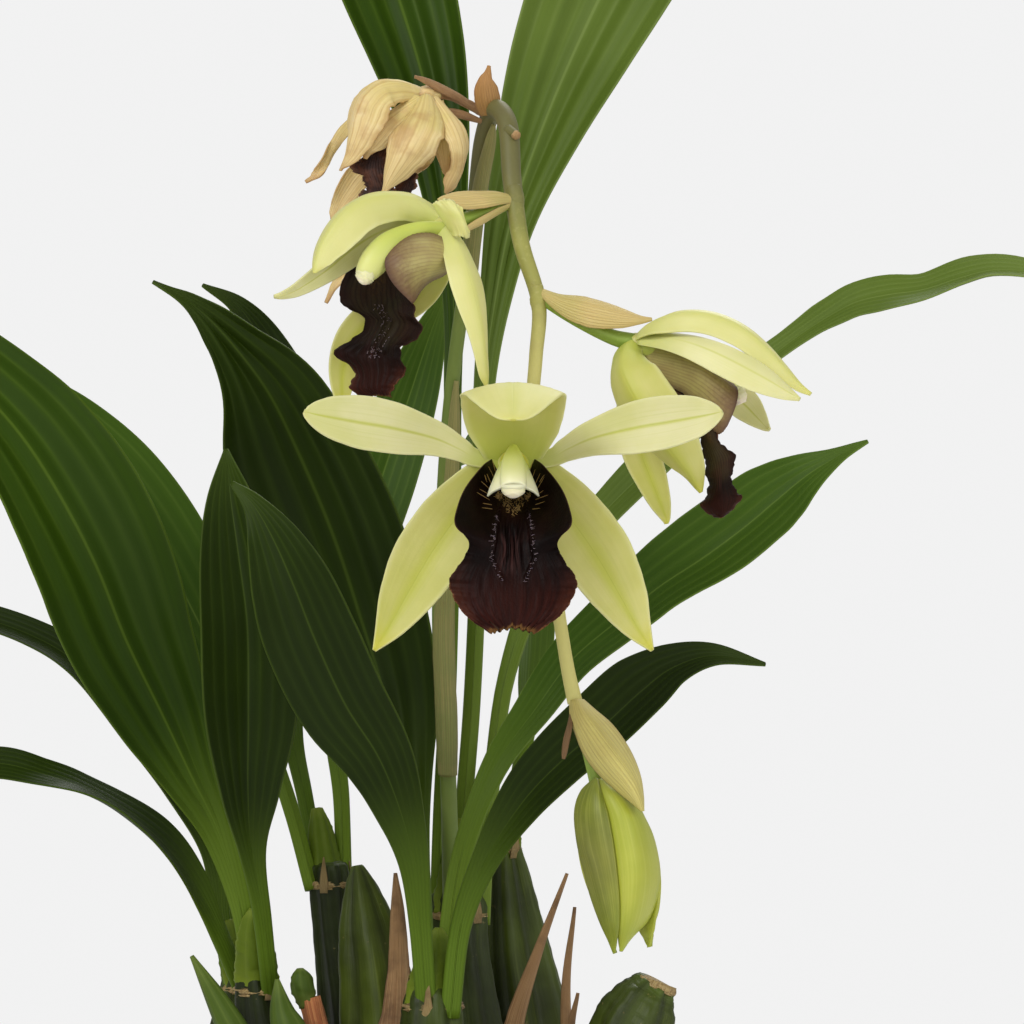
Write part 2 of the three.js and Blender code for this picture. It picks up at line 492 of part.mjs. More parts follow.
const STEM_PATH = [
  [4, 3.6, 150, 1.8], [3.6, -1.5, 170, 1.8], [3, -7.5, 188, 1.7], [2, -12, 205, 1.6],
  [2.5, -18, 222, 1.5], [3.5, -24, 238, 1.5], [5, -29, 253, 1.5], [7, -34, 267, 1.5],
  [8.5, -39, 280, 1.6], [10, -46, 290, 1.7], [12, -53, 294.5, 1.8], [14.3, -60, 291, 1.8],
  [15, -65, 281.5, 1.7], [16.5, -68, 271, 1.6], [19.4, -70, 261, 1.5], [19, -70, 252, 1.35],
  [18.4, -69, 243, 1.3], [19.5, -66, 232, 1.2], [21.4, -64, 220, 1.2], [23, -63, 208, 1.2],
  [24.3, -63.5, 200, 1.25], [25.6, -64, 194, 1.5],
];
const STUB_PATH = [[14.4, -62, 288, 1.6], [15.5, -63, 287.6, 1.5], [17, -63.6, 288.4, 1.4]];

const flowerStem = (grow = 0) => union([
  stem({ path: STEM_PATH, sides: 6, long: 28 }, grow),
  stem({ path: STUB_PATH, sides: 7, long: 2 }, grow),
]);

// ---------------------------------------------------------------- open flowers

// A flower is made facing -Y with its middle at the origin, then turned and placed.
// Spine rows: [x, y, z, half width]. The petal is the right one; the left is its mirror.
const DORSAL = { faces: [[0, -1, 0], [0, -0.6, -0.8], [0, 0, -1], [0, 0.2, -1]],
  cup: 0.55, long: 6, wide: 4,
  spine: [[0, 1.5, -1, 2.2], [0, -1.5, 5, 4.2], [0, -5, 10, 7.2], [0, -10.5, 12.8, 8.8], [0, -17, 12.8, 8],
    [0, -22.5, 11, 5.2], [0, -28, 7.5, 0.4]] };
const PETAL = { faces: [[-0.1, -1, 0.2], [0.3, -0.9, 0.2], [0.35, -0.9, 0.3]],
  cup: 0.25, long: 6, wide: 2, fold: 4,
  spine: [[-1, 1, 0, 1.6], [6.5, -1, 1.5, 1.6], [12.5, -3, 4, 2.9], [20, -6.2, 6.3, 4.9],
    [26.8, -8.8, 7.5, 4.4], [31.6, -10.5, 9, 2.4], [34.6, -11.4, 9.9, 0.35]] };
const SEPAL = { cup: 0.3, long: 6, wide: 4, fold: 7, faces: [[-0.1, -1, 0.1], [0.2, -1, 0],
  [0.2, -0.95, -0.2]] };
const FRONT_SEPAL = { ...SEPAL, spine: [[0, 1.2, 1, 2.4], [5, -0.5, -3.5, 4.6], [9.7, -1.4, -9.5, 6.1],
  [13.7, -2, -15.3, 6.2], [17.2, -2.6, -21.3, 4.9], [20, -3.6, -26.6, 2.8], [22.9, -5, -30.8, 0.35]] };
const LEFT_SEPAL = { ...SEPAL, fold: 12, faces: [[-0.2, -1, 0.1], [-0.4, -1, 0], [-0.4, -0.95, -0.1]],
  spine: [[0, 1.2, 1, 2.2], [5, 0.6, -3.3, 4.2], [10.5, 1.4, -9.3, 5.6], [15.5, 0.4, -15.4, 5.8],
    [19.5, -1.4, -20.4, 4.6], [21.5, -2.8, -23.4, 2.6], [22.6, -3.6, -25.2, 0.6]] };
const RIGHT_SEPAL = { ...SEPAL, fold: 10, faces: [[-0.5, -1, 0], [-0.9, -0.5, 0], [-0.9, -0.3, 0.2]],
  spine: [[0, 1.2, 1, 2.4], [4, 2, -4, 4.6], [8, 3.2, -9.5, 6], [11, 2, -15.5, 6], [13, -1.2, -21.5, 5],
    [14, -4.8, -26, 3], [14.5, -8.3, -29, 0.35]] };

// Half cross-sections of the lip: middle [y, z], corner [x, y, z], margin [x, y, z].
const LIP_ROWS = [
  [-1.6, -2.6, 2, -1.4, -3.4, 3.4, -2.6, 0.4],
  [-5, -4.6, 4, -5, -6, 5.8, -6.6, -0.6],
  [-8.6, -6.8, 5, -8.8, -8.8, 7.6, -11, -3.6],
  [-11.6, -9.2, 5.6, -12.4, -10.8, 9, -15.2, -7],
  [-13.2, -11.8, 5, -14.6, -12.4, 9.3, -18, -9.8],
  [-14.4, -14, 4, -15.4, -13.8, 7.2, -16.4, -12.8],
  [-15.4, -16.4, 5, -16, -16, 8.4, -15.6, -15.6],
  [-16.6, -19, 6, -17, -19, 10.4, -15.8, -18.8],
  [-17.8, -21.8, 6, -18, -22, 10, -16.6, -21.8],
  [-18.8, -24.4, 5, -19, -24.8, 7.8, -18, -24.8],
  [-19.4, -26.8, 2.6, -19.4, -27.4, 3.8, -19, -27.8],
];

const COLUMN = { path: [[0, 0.5, 0.5, 1.6], [0, -3.5, 0.8, 2], [0, -7, -0.4, 2.7], [0, -10.4, -2.6, 3.6],
  [0, -12.8, -5, 3.4]], flat: 0.55, sides: 8, long: 5, faces: [[0, 0.4, 1]] };

// Each open flower: its turn about Z, the nod of its hood and petals and of its lip, how far
// the left and right petals sweep forward and droop, its place, and its stalk and bract.
const FLOWERS = {
  front: { turn: 0, nod: 0, lipNod: 0, sweep: [0, 0], droop: [0, 0], sepal: FRONT_SEPAL,
    at: [15.2, -80, 233.8],
    stalk: [[18.6, -69.5, 246, 1], [18, -74, 241, 1.1], [16, -77, 236, 1.4], [15.2, -79.5, 233.8, 1.6]] },
  left: { turn: -60, nod: 28, lipNod: 10, sweep: [8, 8], droop: [22, 12], sepal: LEFT_SEPAL,
    at: [3, -72, 273],
    stalk: [[15.6, -66.5, 277, 1.1], [11, -68.5, 276.6, 1.4], [7, -70.3, 275, 1.6],
      [3.4, -71.8, 273.2, 1.7]],
    bract: { faces: [[0, 0.3, -1]], cup: 1.1, spine: [[14.6, -67, 279.6, 1.4], [11, -68.5, 280.4, 3.6],
      [7, -70.5, 279.6, 3.4], [2.5, -73, 277.6, 0.4]] } },
  right: { turn: 100, nod: 30, lipNod: 10, sweep: [30, 34], droop: [10, 14], sepal: RIGHT_SEPAL,
    at: [35.6, -68, 255],
    stalk: [[19.6, -70, 261.4, 1.2], [25, -70, 259.8, 1.5], [30.5, -69, 257.6, 1.6],
      [35, -68.1, 255.3, 1.7]],
    bract: { faces: [[0, 0.3, -1]], cup: 1.1, spine: [[20.4, -70.5, 263.4, 1.4], [25, -70.5, 264, 3.2],
      [31, -70, 262.2, 3.4], [38, -69.4, 258.6, 0.4]] } },
};

const turnZ = (degrees) => new THREE.Matrix4().makeRotationZ(degrees * DEGREE);
const nodX = (degrees) => new THREE.Matrix4().makeRotationX(degrees * DEGREE);
const rollY = (degrees) => new THREE.Matrix4().makeRotationY(degrees * DEGREE);

// Rows of points with their extra numbers kept, moved by a matrix and mirrored if side is -1.
const moved = (rows, matrix, side = 1) => rows.map(([x, y, z, ...rest]) => {
  const point = new THREE.Vector3(side * x, y, z).applyMatrix4(matrix);
  return [point.x, point.y, point.z, ...rest];
});

function turnedBlade(part, spine, matrix, side = 1) {
  return { ...part, spine: moved(spine, matrix, side), faces: moved(part.faces, matrix, side) };
}

function tepals(flower, grow = 0) {
  const hub = { path: [[0, 2.2, 0, 1.6], [0, 0.6, 0, 2.7], [0, -1.6, 0, 2.2]], sides: 8, long: 2 };
  const petal = (side, k) => turnedBlade(PETAL, PETAL.spine, nodX(flower.nod)
    .multiply(rollY(side * flower.droop[k])).multiply(turnZ(-side * flower.sweep[k])), side);
  const blades = [
    turnedBlade(DORSAL, DORSAL.spine, nodX(flower.nod)), petal(-1, 0), petal(1, 1),
    turnedBlade(flower.sepal, flower.sepal.spine, nodX(0), -1),
    turnedBlade(flower.sepal, flower.sepal.spine, nodX(0), 1),
  ];
  return placed(union([stem(hub, grow), ...blades.map((part) => blade(part, grow))]), flower, 0);
}

function placed(solid, flower, nod) {
  const place = new THREE.Matrix4().makeTranslation(...flower.at);
  return solid.transform(place.multiply(turnZ(flower.turn)).multiply(nodX(nod)).elements);
}

const column = (flower, grow = 0) => placed(stem(COLUMN, grow), flower, flower.lipNod);
const openLip = (flower, grow = 0) => placed(lip({ rows: LIP_ROWS }, grow), flower, flower.lipNod);
const bractOf = (spec, grow = 0) => blade({ long: 6, wide: 4, thick: 0.8, ...spec }, grow);

function addFlower(name, flower) {
  const grownTepals = tepals(flower, GAP);
  const ovary = (grow = 0) => stem({ path: flower.stalk, sides: 8, long: 5 }, grow);
  add(`${name}_flower_tepals`, cut(tepals(flower), [flowerStem(GAP)]), 'tepal');
  add(`${name}_flower_lip`, cut(openLip(flower), [grownTepals, column(flower, GAP)]), 'lip');
  add(`${name}_flower_column`, cut(column(flower), [grownTepals]), 'column');
  add(`${name}_flower_ovary`, cut(ovary(), [grownTepals, flowerStem(GAP)]), 'ovary');
  if (flower.bract) {
    const neighbours = [grownTepals, flowerStem(GAP), ovary(GAP)];
    add(`${name}_flower_bract`, cut(bractOf(flower.bract), neighbours), 'bract');
  }
}

// ---------------------------------------------------------------- bud

const BUD_STALK = [[25.4, -64, 195.5, 1.3], [27, -64, 190, 1.6], [28.6, -64, 185, 1.8],
  [29.4, -64, 180.5, 1.7]];
const BUD_BODY = [[29.3, -64, 182.4, 1.4], [29.6, -64, 179.5, 4.2], [30.6, -64, 174, 6.4],
  [31.8, -64, 167, 6.8], [32.6, -64, 160, 4.8], [32.9, -64, 155.6, 2.2], [32.6, -64, 153, 0.4]];
const BUD_SEPALS = [
  { faces: [[0.5, 0.85, 0]], cup: 0.9, spine: [[29.5, -65, 181, 2], [28.2, -69.5, 174, 4.6],
    [29, -70, 166, 5], [31.3, -67, 158, 3], [32.2, -64.4, 152.6, 0.4]] },
  { faces: [[-0.7, 0.7, 0]], cup: 0.9, spine: [[30.5, -65, 181, 2.4], [34.6, -69, 174, 5.2],
    [36.4, -69, 166, 5.4], [35.2, -66.6, 159, 3.4], [33.4, -64.6, 152.8, 0.4]] },
  { faces: [[-1, -0.2, 0]], cup: 0.8, spine: [[31.5, -62, 180, 2.4], [37, -60.5, 173, 4.4],
    [39, -61, 165, 4.2], [38.8, -61.6, 159, 2.6], [38, -62, 153.6, 0.35]] },
];
const BUD_BRACT = { faces: [[-0.6, 0.6, -0.5]], cup: 1.2, long: 8, spine: [[24.2, -66, 196, 1.6],
  [28.5, -67.5, 191.5, 4.4], [33, -69, 186, 5.6], [36.4, -69.4, 180.5, 4], [37.6, -69, 175.6, 0.4]] };
const BUD_SCALE = { faces: [[0.6, 0.8, 0]], cup: 0.4, long: 4, spine: [[24, -66.2, 193.4, 1],
  [23.7, -66.8, 190, 1.1], [23.9, -67, 187.4, 0.8], [24.2, -67, 185, 0.3]] };

function addBud() {
  const body = (grow = 0) => union([stem({ path: BUD_BODY, sides: 8, long: 6 }, grow),
    ...BUD_SEPALS.map((sepal) => blade({ long: 5, wide: 4, thick: 1.1, rim: 0.8, ...sepal }, grow))]);
  const stalk = (grow = 0) => stem({ path: BUD_STALK, sides: 8, long: 4 }, grow);
  add('bud', mainBody(body()), 'bud');
  add('bud_ovary', cut(stalk(), [body(GAP), flowerStem(GAP)]), 'ovary');
  add('bud_bract', cut(bractOf(BUD_BRACT), [body(GAP), stalk(GAP), flowerStem(GAP)]), 'budBract');
  add('bud_scale', cut(bractOf(BUD_SCALE), [stalk(GAP), flowerStem(GAP), bractOf(BUD_BRACT, GAP)]),
    'bract');
}

// ---------------------------------------------------------------- wilted flower and dry scales

const WILTED_STALK = [[11, -51, 293.5, 1.2], [7, -51, 295.6, 1.3], [3, -51.5, 297, 1.6],
  [0.5, -52, 297.2, 2]];
const WILTED_TEPALS = [
  { faces: [[0.1, 0.4, -1], [0.9, 0.4, 0]], cup: 0.8, spine: [[1, -52, 297.4, 2], [-5.5, -55, 298.6, 4.4],
    [-11, -56.5, 294.6, 5.4], [-14, -56, 288, 4.2], [-13.4, -55, 281.6, 0.4]] },
  { faces: [[0.2, 0.9, 0]], cup: 0.7, spine: [[1, -53, 297, 2], [-1, -58.5, 292, 4.6],
    [-3.6, -60, 285.6, 4.4], [-7, -58, 279.6, 0.5]] },
  { faces: [[-0.3, 0.9, 0]], cup: 0.8, spine: [[1, -52, 297, 1.8], [4.6, -56, 292.6, 3.4],
    [7, -57, 287, 3.2], [5.4, -56, 281, 0.4]] },
  { faces: [[0.6, -0.2, -0.6]], cup: 0.5, spine: [[0, -51, 297.6, 1.6], [-8, -48, 298, 2.8],
    [-15.5, -47, 292, 2.6], [-19.6, -48, 282, 0.4]] },
  { faces: [[0.3, -0.9, 0]], cup: 0.6, spine: [[0, -50.5, 297, 1.6], [-5.5, -47, 290, 3], [-8, -46, 279, 3],
    [-12, -47, 269.5, 2.2], [-16.5, -48.5, 261.6, 0.4]] },
];
const WILTED_LIP = { faces: [[0.2, -0.9, 0.3]], cup: 0.8, wave: [0.9, 3],
  long: 7, wide: 6, thick: 0.9, rim: 0.8,
  spine: [[-2, -52.5, 292, 2], [-5, -53, 287.6, 3.6], [-7.6, -53, 283, 4.6], [-9, -53, 279, 4],
    [-9.6, -53, 276.4, 1]] };
const TIP_BRACT = { faces: [[0, -1, 0.1]], cup: 0.9, spine: [[10.6, -50, 293.6, 1.4], [10.4, -50.6, 297, 2],
  [10.5, -51, 300, 1.4], [10.8, -51.4, 303, 0.35]] };
const STEM_SHEATHS = {
  stem_sheath_upper: { faces: [[-0.8, 0.6, 0.1]], cup: 1.5, long: 6, spine: [[8, -33.5, 262, 2.6],
    [9.2, -38, 272.5, 2.8], [10.8, -43.6, 282.5, 2.4], [12, -47.6, 287.6, 0.5]] },
  stem_sheath_lower: { faces: [[-0.9, 0.4, 0.1]], cup: 1.5, long: 8, spine: [[5.4, -6.4, 178, 2.4],
    [4.8, -10.5, 189, 2.6], [4.2, -15.2, 205, 2.6], [4.6, -21, 222, 2.4], [5.6, -27, 239, 1.8],
    [6.6, -30.6, 249, 0.5]] },
};

const WILTED_HUB = [[2, -51.6, 297.4, 1.6], [0, -52, 297, 2.6], [-1.6, -52.4, 296, 1.8]];
const wiltedTepals = (grow = 0) => union([
  stem({ path: WILTED_HUB, sides: 8, long: 2 }, grow),
  ...WILTED_TEPALS.map((tepal) => blade({ long: 5, wide: 4, thick: 0.7, wave: [0.5, 2.5],
    ...tepal }, grow)),
]);

function addWilted() {
  const stalk = (grow = 0) => stem({ path: WILTED_STALK, sides: 7, long: 4 }, grow);
  add('wilted_flower_tepals', cut(wiltedTepals(), [flowerStem(GAP)]), 'wilted');
  add('wilted_flower_lip', cut(blade(WILTED_LIP), [wiltedTepals(GAP)]), 'wiltedLip');
  add('wilted_flower_stalk', cut(stalk(), [wiltedTepals(GAP), flowerStem(GAP)]), 'dry');
  add('stem_tip_bract', cut(bractOf(TIP_BRACT), [flowerStem(GAP), stalk(GAP)]), 'bract');
  Object.entries(STEM_SHEATHS).forEach(([name, spec]) => {
    add(name, cut(bractOf(spec), [flowerStem(GAP)]), 'dry');
  });
}

// ---------------------------------------------------------------- shoots and old sheaths

const SHOOTS = [
  [[-20, -26, 97, 4], [-24, -25.5, 112, 4.4], [-30, -24, 126, 3.6], [-36, -22, 137, 2.4],
  [-42, -20, 147, 0.4]],
  [[-17, -28, 97, 4], [-19, -28, 115, 4.2], [-23.5, -27, 132, 3.6], [-25.6, -26, 138, 2.2],
  [-26.5, -25.5, 143.5, 0.4]],
];
const OLD_SPIKE = [[-12, -20.5, 97, 2.4], [-15.5, -20.5, 116, 2.3], [-21, -19.5, 139.5, 2.1]];
const DRY_SHEATHS = {
  dry_sheath_front: { faces: [[-0.4, 0.9, 0]], cup: 0.7, long: 7, spine: [[12, -6, 97, 3.2],
    [13.2, -7.5, 116, 3], [15.6, -8, 133, 2.3], [20, -7, 147, 1.4], [25, -6, 160.5, 0.3]] },
  dry_sheath_back: { faces: [[-0.3, 0.9, 0]], cup: 0.6, long: 6, spine: [[28, 6, 95, 2], [26, 8, 116, 1.8],
    [25, 9, 137, 1.4], [26.6, 9, 153, 0.3]] },
  dry_sheath_small: { faces: [[-0.3, 0.9, 0]], cup: 0.5, long: 5, spine: [[23, -9, 95, 1.8],
    [24.5, -7, 115, 1.6], [25.6, -4, 131, 1.2], [27, -3, 138.5, 0.3]] },
  dry_sheath_middle: { faces: [[0, 1, 0]], cup: 0.9, long: 8, spine: [[-7, -17.6, 97, 4],
    [-7, -17.6, 112, 4.6], [-6, -16, 130, 3.6], [-5.4, -13.6, 144, 2.2], [-5.6, -12, 154, 1.4],
    [-6, -11, 161, 0.3]] },
};

// ---------------------------------------------------------------- scene

const orchid = new THREE.Group();

function add(name, solid, color) {
  const mesh = solid.getMesh();
  const geometry = new THREE.BufferGeometry();
  geometry.setAttribute('position', new THREE.Float32BufferAttribute(mesh.vertProperties, 3));
  geometry.setIndex([...mesh.triVerts]);
  const material = new THREE.MeshStandardMaterial({ color: COLORS[color], roughness: 0.55, metalness: 0 });
  const node = new THREE.Mesh(geometry, material);
  node.name = name;
  orchid.add(node);
}

const bulbNames = Object.keys(BULBS);
const grownBulbs = bulbNames.map((name) => bulb(name, GAP));

add('pot', makePot(), 'pot');

add('rhizome', cut(rhizome(), grownBulbs), 'rhizome');
bulbNames.forEach((name) => add(name, bulb(name), 'bulb'));
Object.entries(LEAVES).forEach(([name, { from, color }]) => {
  add(name, cut(leaf(name), [bulb(from, GAP)]), color);
});
const shoots = (grow = 0) => union(SHOOTS.map((path) => stem({ path, sides: 7, long: 6, flat: 0.8 },
  grow)));
add('young_shoots', cut(shoots(), [rhizome(GAP)]), 'leaf');
const oldSpike = (grow = 0) => stem({ path: OLD_SPIKE, sides: 7, long: 3 }, grow);
add('old_spike_stub', cut(oldSpike(), [rhizome(GAP), shoots(GAP)]), 'dry');
Object.entries(DRY_SHEATHS).forEach(([name, spec]) => {
  add(name, cut(bractOf(spec), [rhizome(GAP), ...grownBulbs]), 'dry');
});
const rooted = [rhizome(2 * GAP), ...grownBulbs, shoots(GAP), oldSpike(GAP),
  ...Object.values(DRY_SHEATHS).map((spec) => bractOf(spec, GAP))];
add('bark', cut(makeBark(), rooted), 'bark');
add('flower_stem', cut(flowerStem(), [bulb('pseudobulb_back', GAP)]), 'stem');
Object.entries(FLOWERS).forEach(([name, flower]) => addFlower(name, flower));
addBud();
addWilted();

export default orchid;
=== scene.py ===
import math

import bpy
import numpy as np
from mathutils import Matrix, Vector


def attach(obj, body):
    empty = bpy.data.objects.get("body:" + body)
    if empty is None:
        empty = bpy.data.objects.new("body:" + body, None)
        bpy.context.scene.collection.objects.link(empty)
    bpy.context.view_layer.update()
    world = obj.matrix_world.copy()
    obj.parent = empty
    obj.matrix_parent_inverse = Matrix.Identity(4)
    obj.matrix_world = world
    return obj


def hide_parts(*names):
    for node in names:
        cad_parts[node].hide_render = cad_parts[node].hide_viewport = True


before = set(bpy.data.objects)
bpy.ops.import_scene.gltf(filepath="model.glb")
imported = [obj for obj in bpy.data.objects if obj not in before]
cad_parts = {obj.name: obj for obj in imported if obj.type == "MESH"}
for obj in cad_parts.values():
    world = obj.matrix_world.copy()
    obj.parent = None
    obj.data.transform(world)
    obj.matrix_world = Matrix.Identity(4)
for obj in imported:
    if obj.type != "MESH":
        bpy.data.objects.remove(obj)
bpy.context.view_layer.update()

millimetre = 0.001
degree = math.pi / 180


# Numbers and curves. Tables are in millimetres, as on the plant.

def mix(a, b, t):
    return a + (b - a) * t


def smooth(low, high, value):
    t = np.clip((value - low) / (high - low), 0, 1)
    return t * t * (3 - 2 * t)


def unit(vectors):
    return vectors / np.maximum(np.linalg.norm(vectors, axis=-1, keepdims=True), 1e-12)


def along(rows, t):  # rows of numbers read at t (0 to 1) on a smooth curve through them
    rows = np.asarray(rows, float)
    t = np.clip(np.asarray(t, float), 0, 1)
    if len(rows) == 1:
        return np.repeat(rows, len(t), axis=0)
    place = t * (len(rows) - 1)
    i = np.minimum(place.astype(int), len(rows) - 2)
    f = (place - i)[:, None]
    ends = np.vstack([2 * rows[0] - rows[1], rows, 2 * rows[-1] - rows[-2]])
    a, b, c, d = ends[i], ends[i + 1], ends[i + 2], ends[i + 3]
    bend, twist = 2 * a - 5 * b + 4 * c - d, 3 * b - a - 3 * c + d
    return 0.5 * (2 * b + (c - a) * f + bend * f ** 2 + twist * f ** 3)


def framesAt(spine, faces, t):  # place, side and face direction along a spine
    step = 0.004
    spine = np.asarray(spine, float)
    ahead, behind = along(spine, np.minimum(1, t + step)), along(spine, np.maximum(0, t - step))
    tangent = unit((ahead - behind)[:, :3])
    side = unit(np.cross(tangent, along(faces, t)))
    return along(spine, t)[:, :3], side, unit(np.cross(side, tangent))


def wander(seed, t, pace=1.0):  # a smooth wandering line between about -1 and 1
    random = np.random.RandomState(seed)
    total = 0
    for k in range(1, 6):
        phase, strength = random.uniform(0, 2 * math.pi), random.uniform(0.4, 1)
        total = total + strength * np.sin(pace * k * 2 * math.pi * t + phase) / k
    return total / 1.6


def twoEdges(t, u, seeds, pace):  # each half of a sheet wanders in its own way
    left, right = (wander(seed, t, pace)[:, None] for seed in seeds)
    return np.where(u[None, :] < 0, left, right)


def sheetNormal(surface, t, u, step=0.012):  # of a sheet with t along it and u across
    length = surface(np.minimum(1, t + step), u) - surface(np.maximum(0, t - step), u)
    width = surface(t, np.minimum(1, u + step)) - surface(t, np.maximum(-1, u - step))
    return unit(np.cross(width, length))


def circle(count):  # angles round a ring
    return 2 * math.pi * np.arange(count) / count


# Meshes

def linked(name, data):  # an object in the scene
    made = bpy.data.objects.new(name, data)
    bpy.context.scene.collection.objects.link(made)
    return made


def facesOf(part, start=0):
    return (part["quads"] + start).tolist() + (part["tris"] + start).tolist()


def facingOut(part):
    points, quads, tris = part["points"], part["quads"], part["tris"]
    flat = np.vstack([quads[:, [0, 1, 2]], quads[:, [0, 2, 3]], tris])
    a, b, c = points[flat[:, 0]], points[flat[:, 1]], points[flat[:, 2]]
    if np.einsum("ij,ij->", a, np.cross(b, c)) < 0:
        part["quads"], part["tris"] = quads[:, ::-1], tris[:, ::-1]
    return part


def plate(front, back, u, v, marks=(0, 1)):  # a closed sheet between two facing grids of points
    rows, columns = front.shape[:2]
    size = rows * columns
    at = np.arange(size).reshape(rows, columns)
    quads = np.stack([at[:-1, :-1], at[:-1, 1:], at[1:, 1:], at[1:, :-1]], -1).reshape(-1, 4)
    rim = np.concatenate([at[0, :-1], at[:-1, -1], at[-1, :0:-1], at[:0:-1, 0]])
    after = np.roll(rim, -1)
    edge = np.stack([rim, rim + size, after + size, after], -1)
    uv = np.stack(np.broadcast_arrays(0.5 + 0.5 * u[None, :], v[:, None]), -1).reshape(-1, 2)
    mark = np.repeat(np.array(marks, float), size)
    return facingOut({"points": np.vstack([front.reshape(-1, 3), back.reshape(-1, 3)]),
                      "quads": np.vstack([quads, (quads + size)[:, ::-1], edge]),
                      "tris": np.zeros((0, 3), int), "uv": np.vstack([uv, uv]), "mark": mark})


def rings(grid, v, mark=0.0):  # a closed body from rings of points
    rows, count = grid.shape[:2]
    at = np.arange(rows * count).reshape(rows, count)
    after = np.roll(at, -1, axis=1)
    quads = np.stack([at[:-1], after[:-1], after[1:], at[1:]], -1).reshape(-1, 4)
    foot, head = np.full(count, rows * count), np.full(count, rows * count + 1)
    tris = np.vstack([np.stack([foot, after[0], at[0]], -1), np.stack([head, at[-1], after[-1]], -1)])
    turn = np.arange(count) / count
    uv = np.stack(np.broadcast_arrays(turn[None, :], v[:, None]), -1).reshape(-1, 2)
    uv = np.vstack([uv, [[0.5, v[0]], [0.5, v[-1]]]])
    middles = [grid[0].mean(axis=0), grid[-1].mean(axis=0)]
    return facingOut({"points": np.vstack([grid.reshape(-1, 3), middles]), "quads": quads, "tris": tris,
                      "uv": uv, "mark": np.full(rows * count + 2, float(mark))})


def addPiece(name, parts, material, nodes=(), flat=False):
    points = np.vstack([part["points"] for part in parts]) * millimetre
    faces, start = [], 0
    for part in parts:
        faces += facesOf(part, start)
        start += len(part["points"])
    mesh = bpy.data.meshes.new(name)
    mesh.from_pydata(points, [], faces)
    corners = np.empty(len(mesh.loops), dtype=np.int32)
    mesh.loops.foreach_get("vertex_index", corners)
    uv = np.vstack([part["uv"] for part in parts]).astype(np.float32)
    mesh.uv_layers.new(name="UVMap").data.foreach_set("uv", uv[corners].ravel())
    mark = np.concatenate([part["mark"] for part in parts]).astype(np.float32)
    mesh.attributes.new("mark", "FLOAT", "POINT").data.foreach_set("value", mark)
    mesh.polygons.foreach_set("use_smooth", np.full(len(mesh.polygons), not flat))
    mesh.materials.append(material)
    mesh.update()
    piece = linked(name, mesh)
    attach(piece, "root")
    if nodes:
        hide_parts(*nodes)
    return piece


def moved(part, matrix):
    turn, shift = np.array(matrix)[:3, :3], np.array(matrix)[:3, 3]
    return {**part, "points": part["points"] @ turn.T + shift}


# A leaf, petal, sepal or bract. Spine rows are [x, y, z, half width].
bladeDefaults = {"faces": [[0, -1, 0]], "long": 60, "wide": 24, "thick": 0.5, "rim": 0.3, "fold": 0, "cup": 0,
                 "pleat": 0, "pleats": 2, "fine": 0, "fineCount": 7, "wave": (0, 1), "ragged": 0, "stalk": 0,
                 "stalkThick": 2.6, "seed": 1, "crinkle": 0, "least": 0.3, "marks": (0, 1)}


def blade(**look):
    spec = {**bladeDefaults, **look}
    spine, faces, stalk, seed = spec["spine"], spec["faces"], spec["stalk"], spec["seed"]
    t = np.linspace(0, 1, spec["long"] + 1)
    u = np.linspace(-1, 1, spec["wide"] + 1)
    u = np.sign(u) * (1 - (1 - np.abs(u)) ** 1.2)

    def surface(t, u):
        point, side, face = framesAt(spine, faces, t)
        half = np.maximum(spec["least"], along(spine, t)[:, 3])
        opening = smooth(0.6 * stalk, 1.5 * stalk + 0.02, t)
        a, sign = np.abs(u)[None, :], np.sign(u)[None, :]
        edge = twoEdges(t, u, (seed, seed + 50), 4)
        slim = mix(0.76, 1, smooth(0.7 * stalk, 1.6 * stalk + 0.02, t)) if stalk else 1
        width = (half * slim)[:, None] * (1 + spec["ragged"] * edge * a ** 2 * smooth(1, 4, half)[:, None])
        bend = max(1e-3, spec["cup"])
        across, lift = np.sin(bend * a) / bend, (1 - np.cos(bend * a)) / bend
        crease = np.sqrt(a ** 2 + 0.004) - 0.063
        angle = spec["fold"] * degree
        x = (across * math.cos(angle) - lift * math.sin(angle)) * sign * width
        beat, count = spec["wave"]
        wavy = beat * u[None, :] ** 2 * np.sin(2 * math.pi * (count * t[:, None] + 0.17 * sign))
        wavy = wavy + 0.3 * beat * a ** 4 * edge
        folds = spec["pleat"] * np.cos(2 * math.pi * spec["pleats"] * u)[None, :] * (1 - 0.5 * a)
        folds = folds + spec["fine"] * np.cos(2 * math.pi * spec["fineCount"] * u)[None, :] * (1 - 0.4 * a)
        folds = folds + spec["crinkle"] * np.sin(7 * u[None, :] + 5 * wander(seed + 90, t, 3)[:, None])
        h = (crease * math.sin(angle) + lift * math.cos(angle)) * width
        open_ = (opening * (1 - smooth(0.86, 1, t)))[:, None]
        h = h + (wavy + folds * smooth(1, 6, half)[:, None]) * open_
        return point[:, None] + side[:, None] * x[..., None] + face[:, None] * h[..., None]

    normal = sheetNormal(surface, t, u, 0.01)
    thick = mix(spec["thick"], spec["rim"], u ** 2)[None, :] * np.ones((len(t), 1))
    if stalk > 0:
        section = spec["stalkThick"] * (1 - 0.8 * u ** 2)[None, :]
        thick = mix(thick, section, (1 - smooth(0.5 * stalk, 1.3 * stalk + 0.01, t))[:, None])
    centre, half = surface(t, u), thick[..., None] / 2
    return plate(centre + normal * half, centre - normal * half, u, t, spec["marks"])


# A petal-like sheet drawn by its edges. Rows are [left edge, middle, right edge], each x, y, z.
lobeDefaults = {"long": 60, "wide": 34, "thick": 0.5, "rim": 0.3, "ruffle": 0, "pace": 5, "ragged": 0,
                "fine": 0, "fineCount": 6, "keels": (), "keelHeight": 0.7, "keelSpan": (0.2, 0.7),
                "keelWidth": 0.045, "seed": 1, "marks": (0, 1), "tuck": 0}


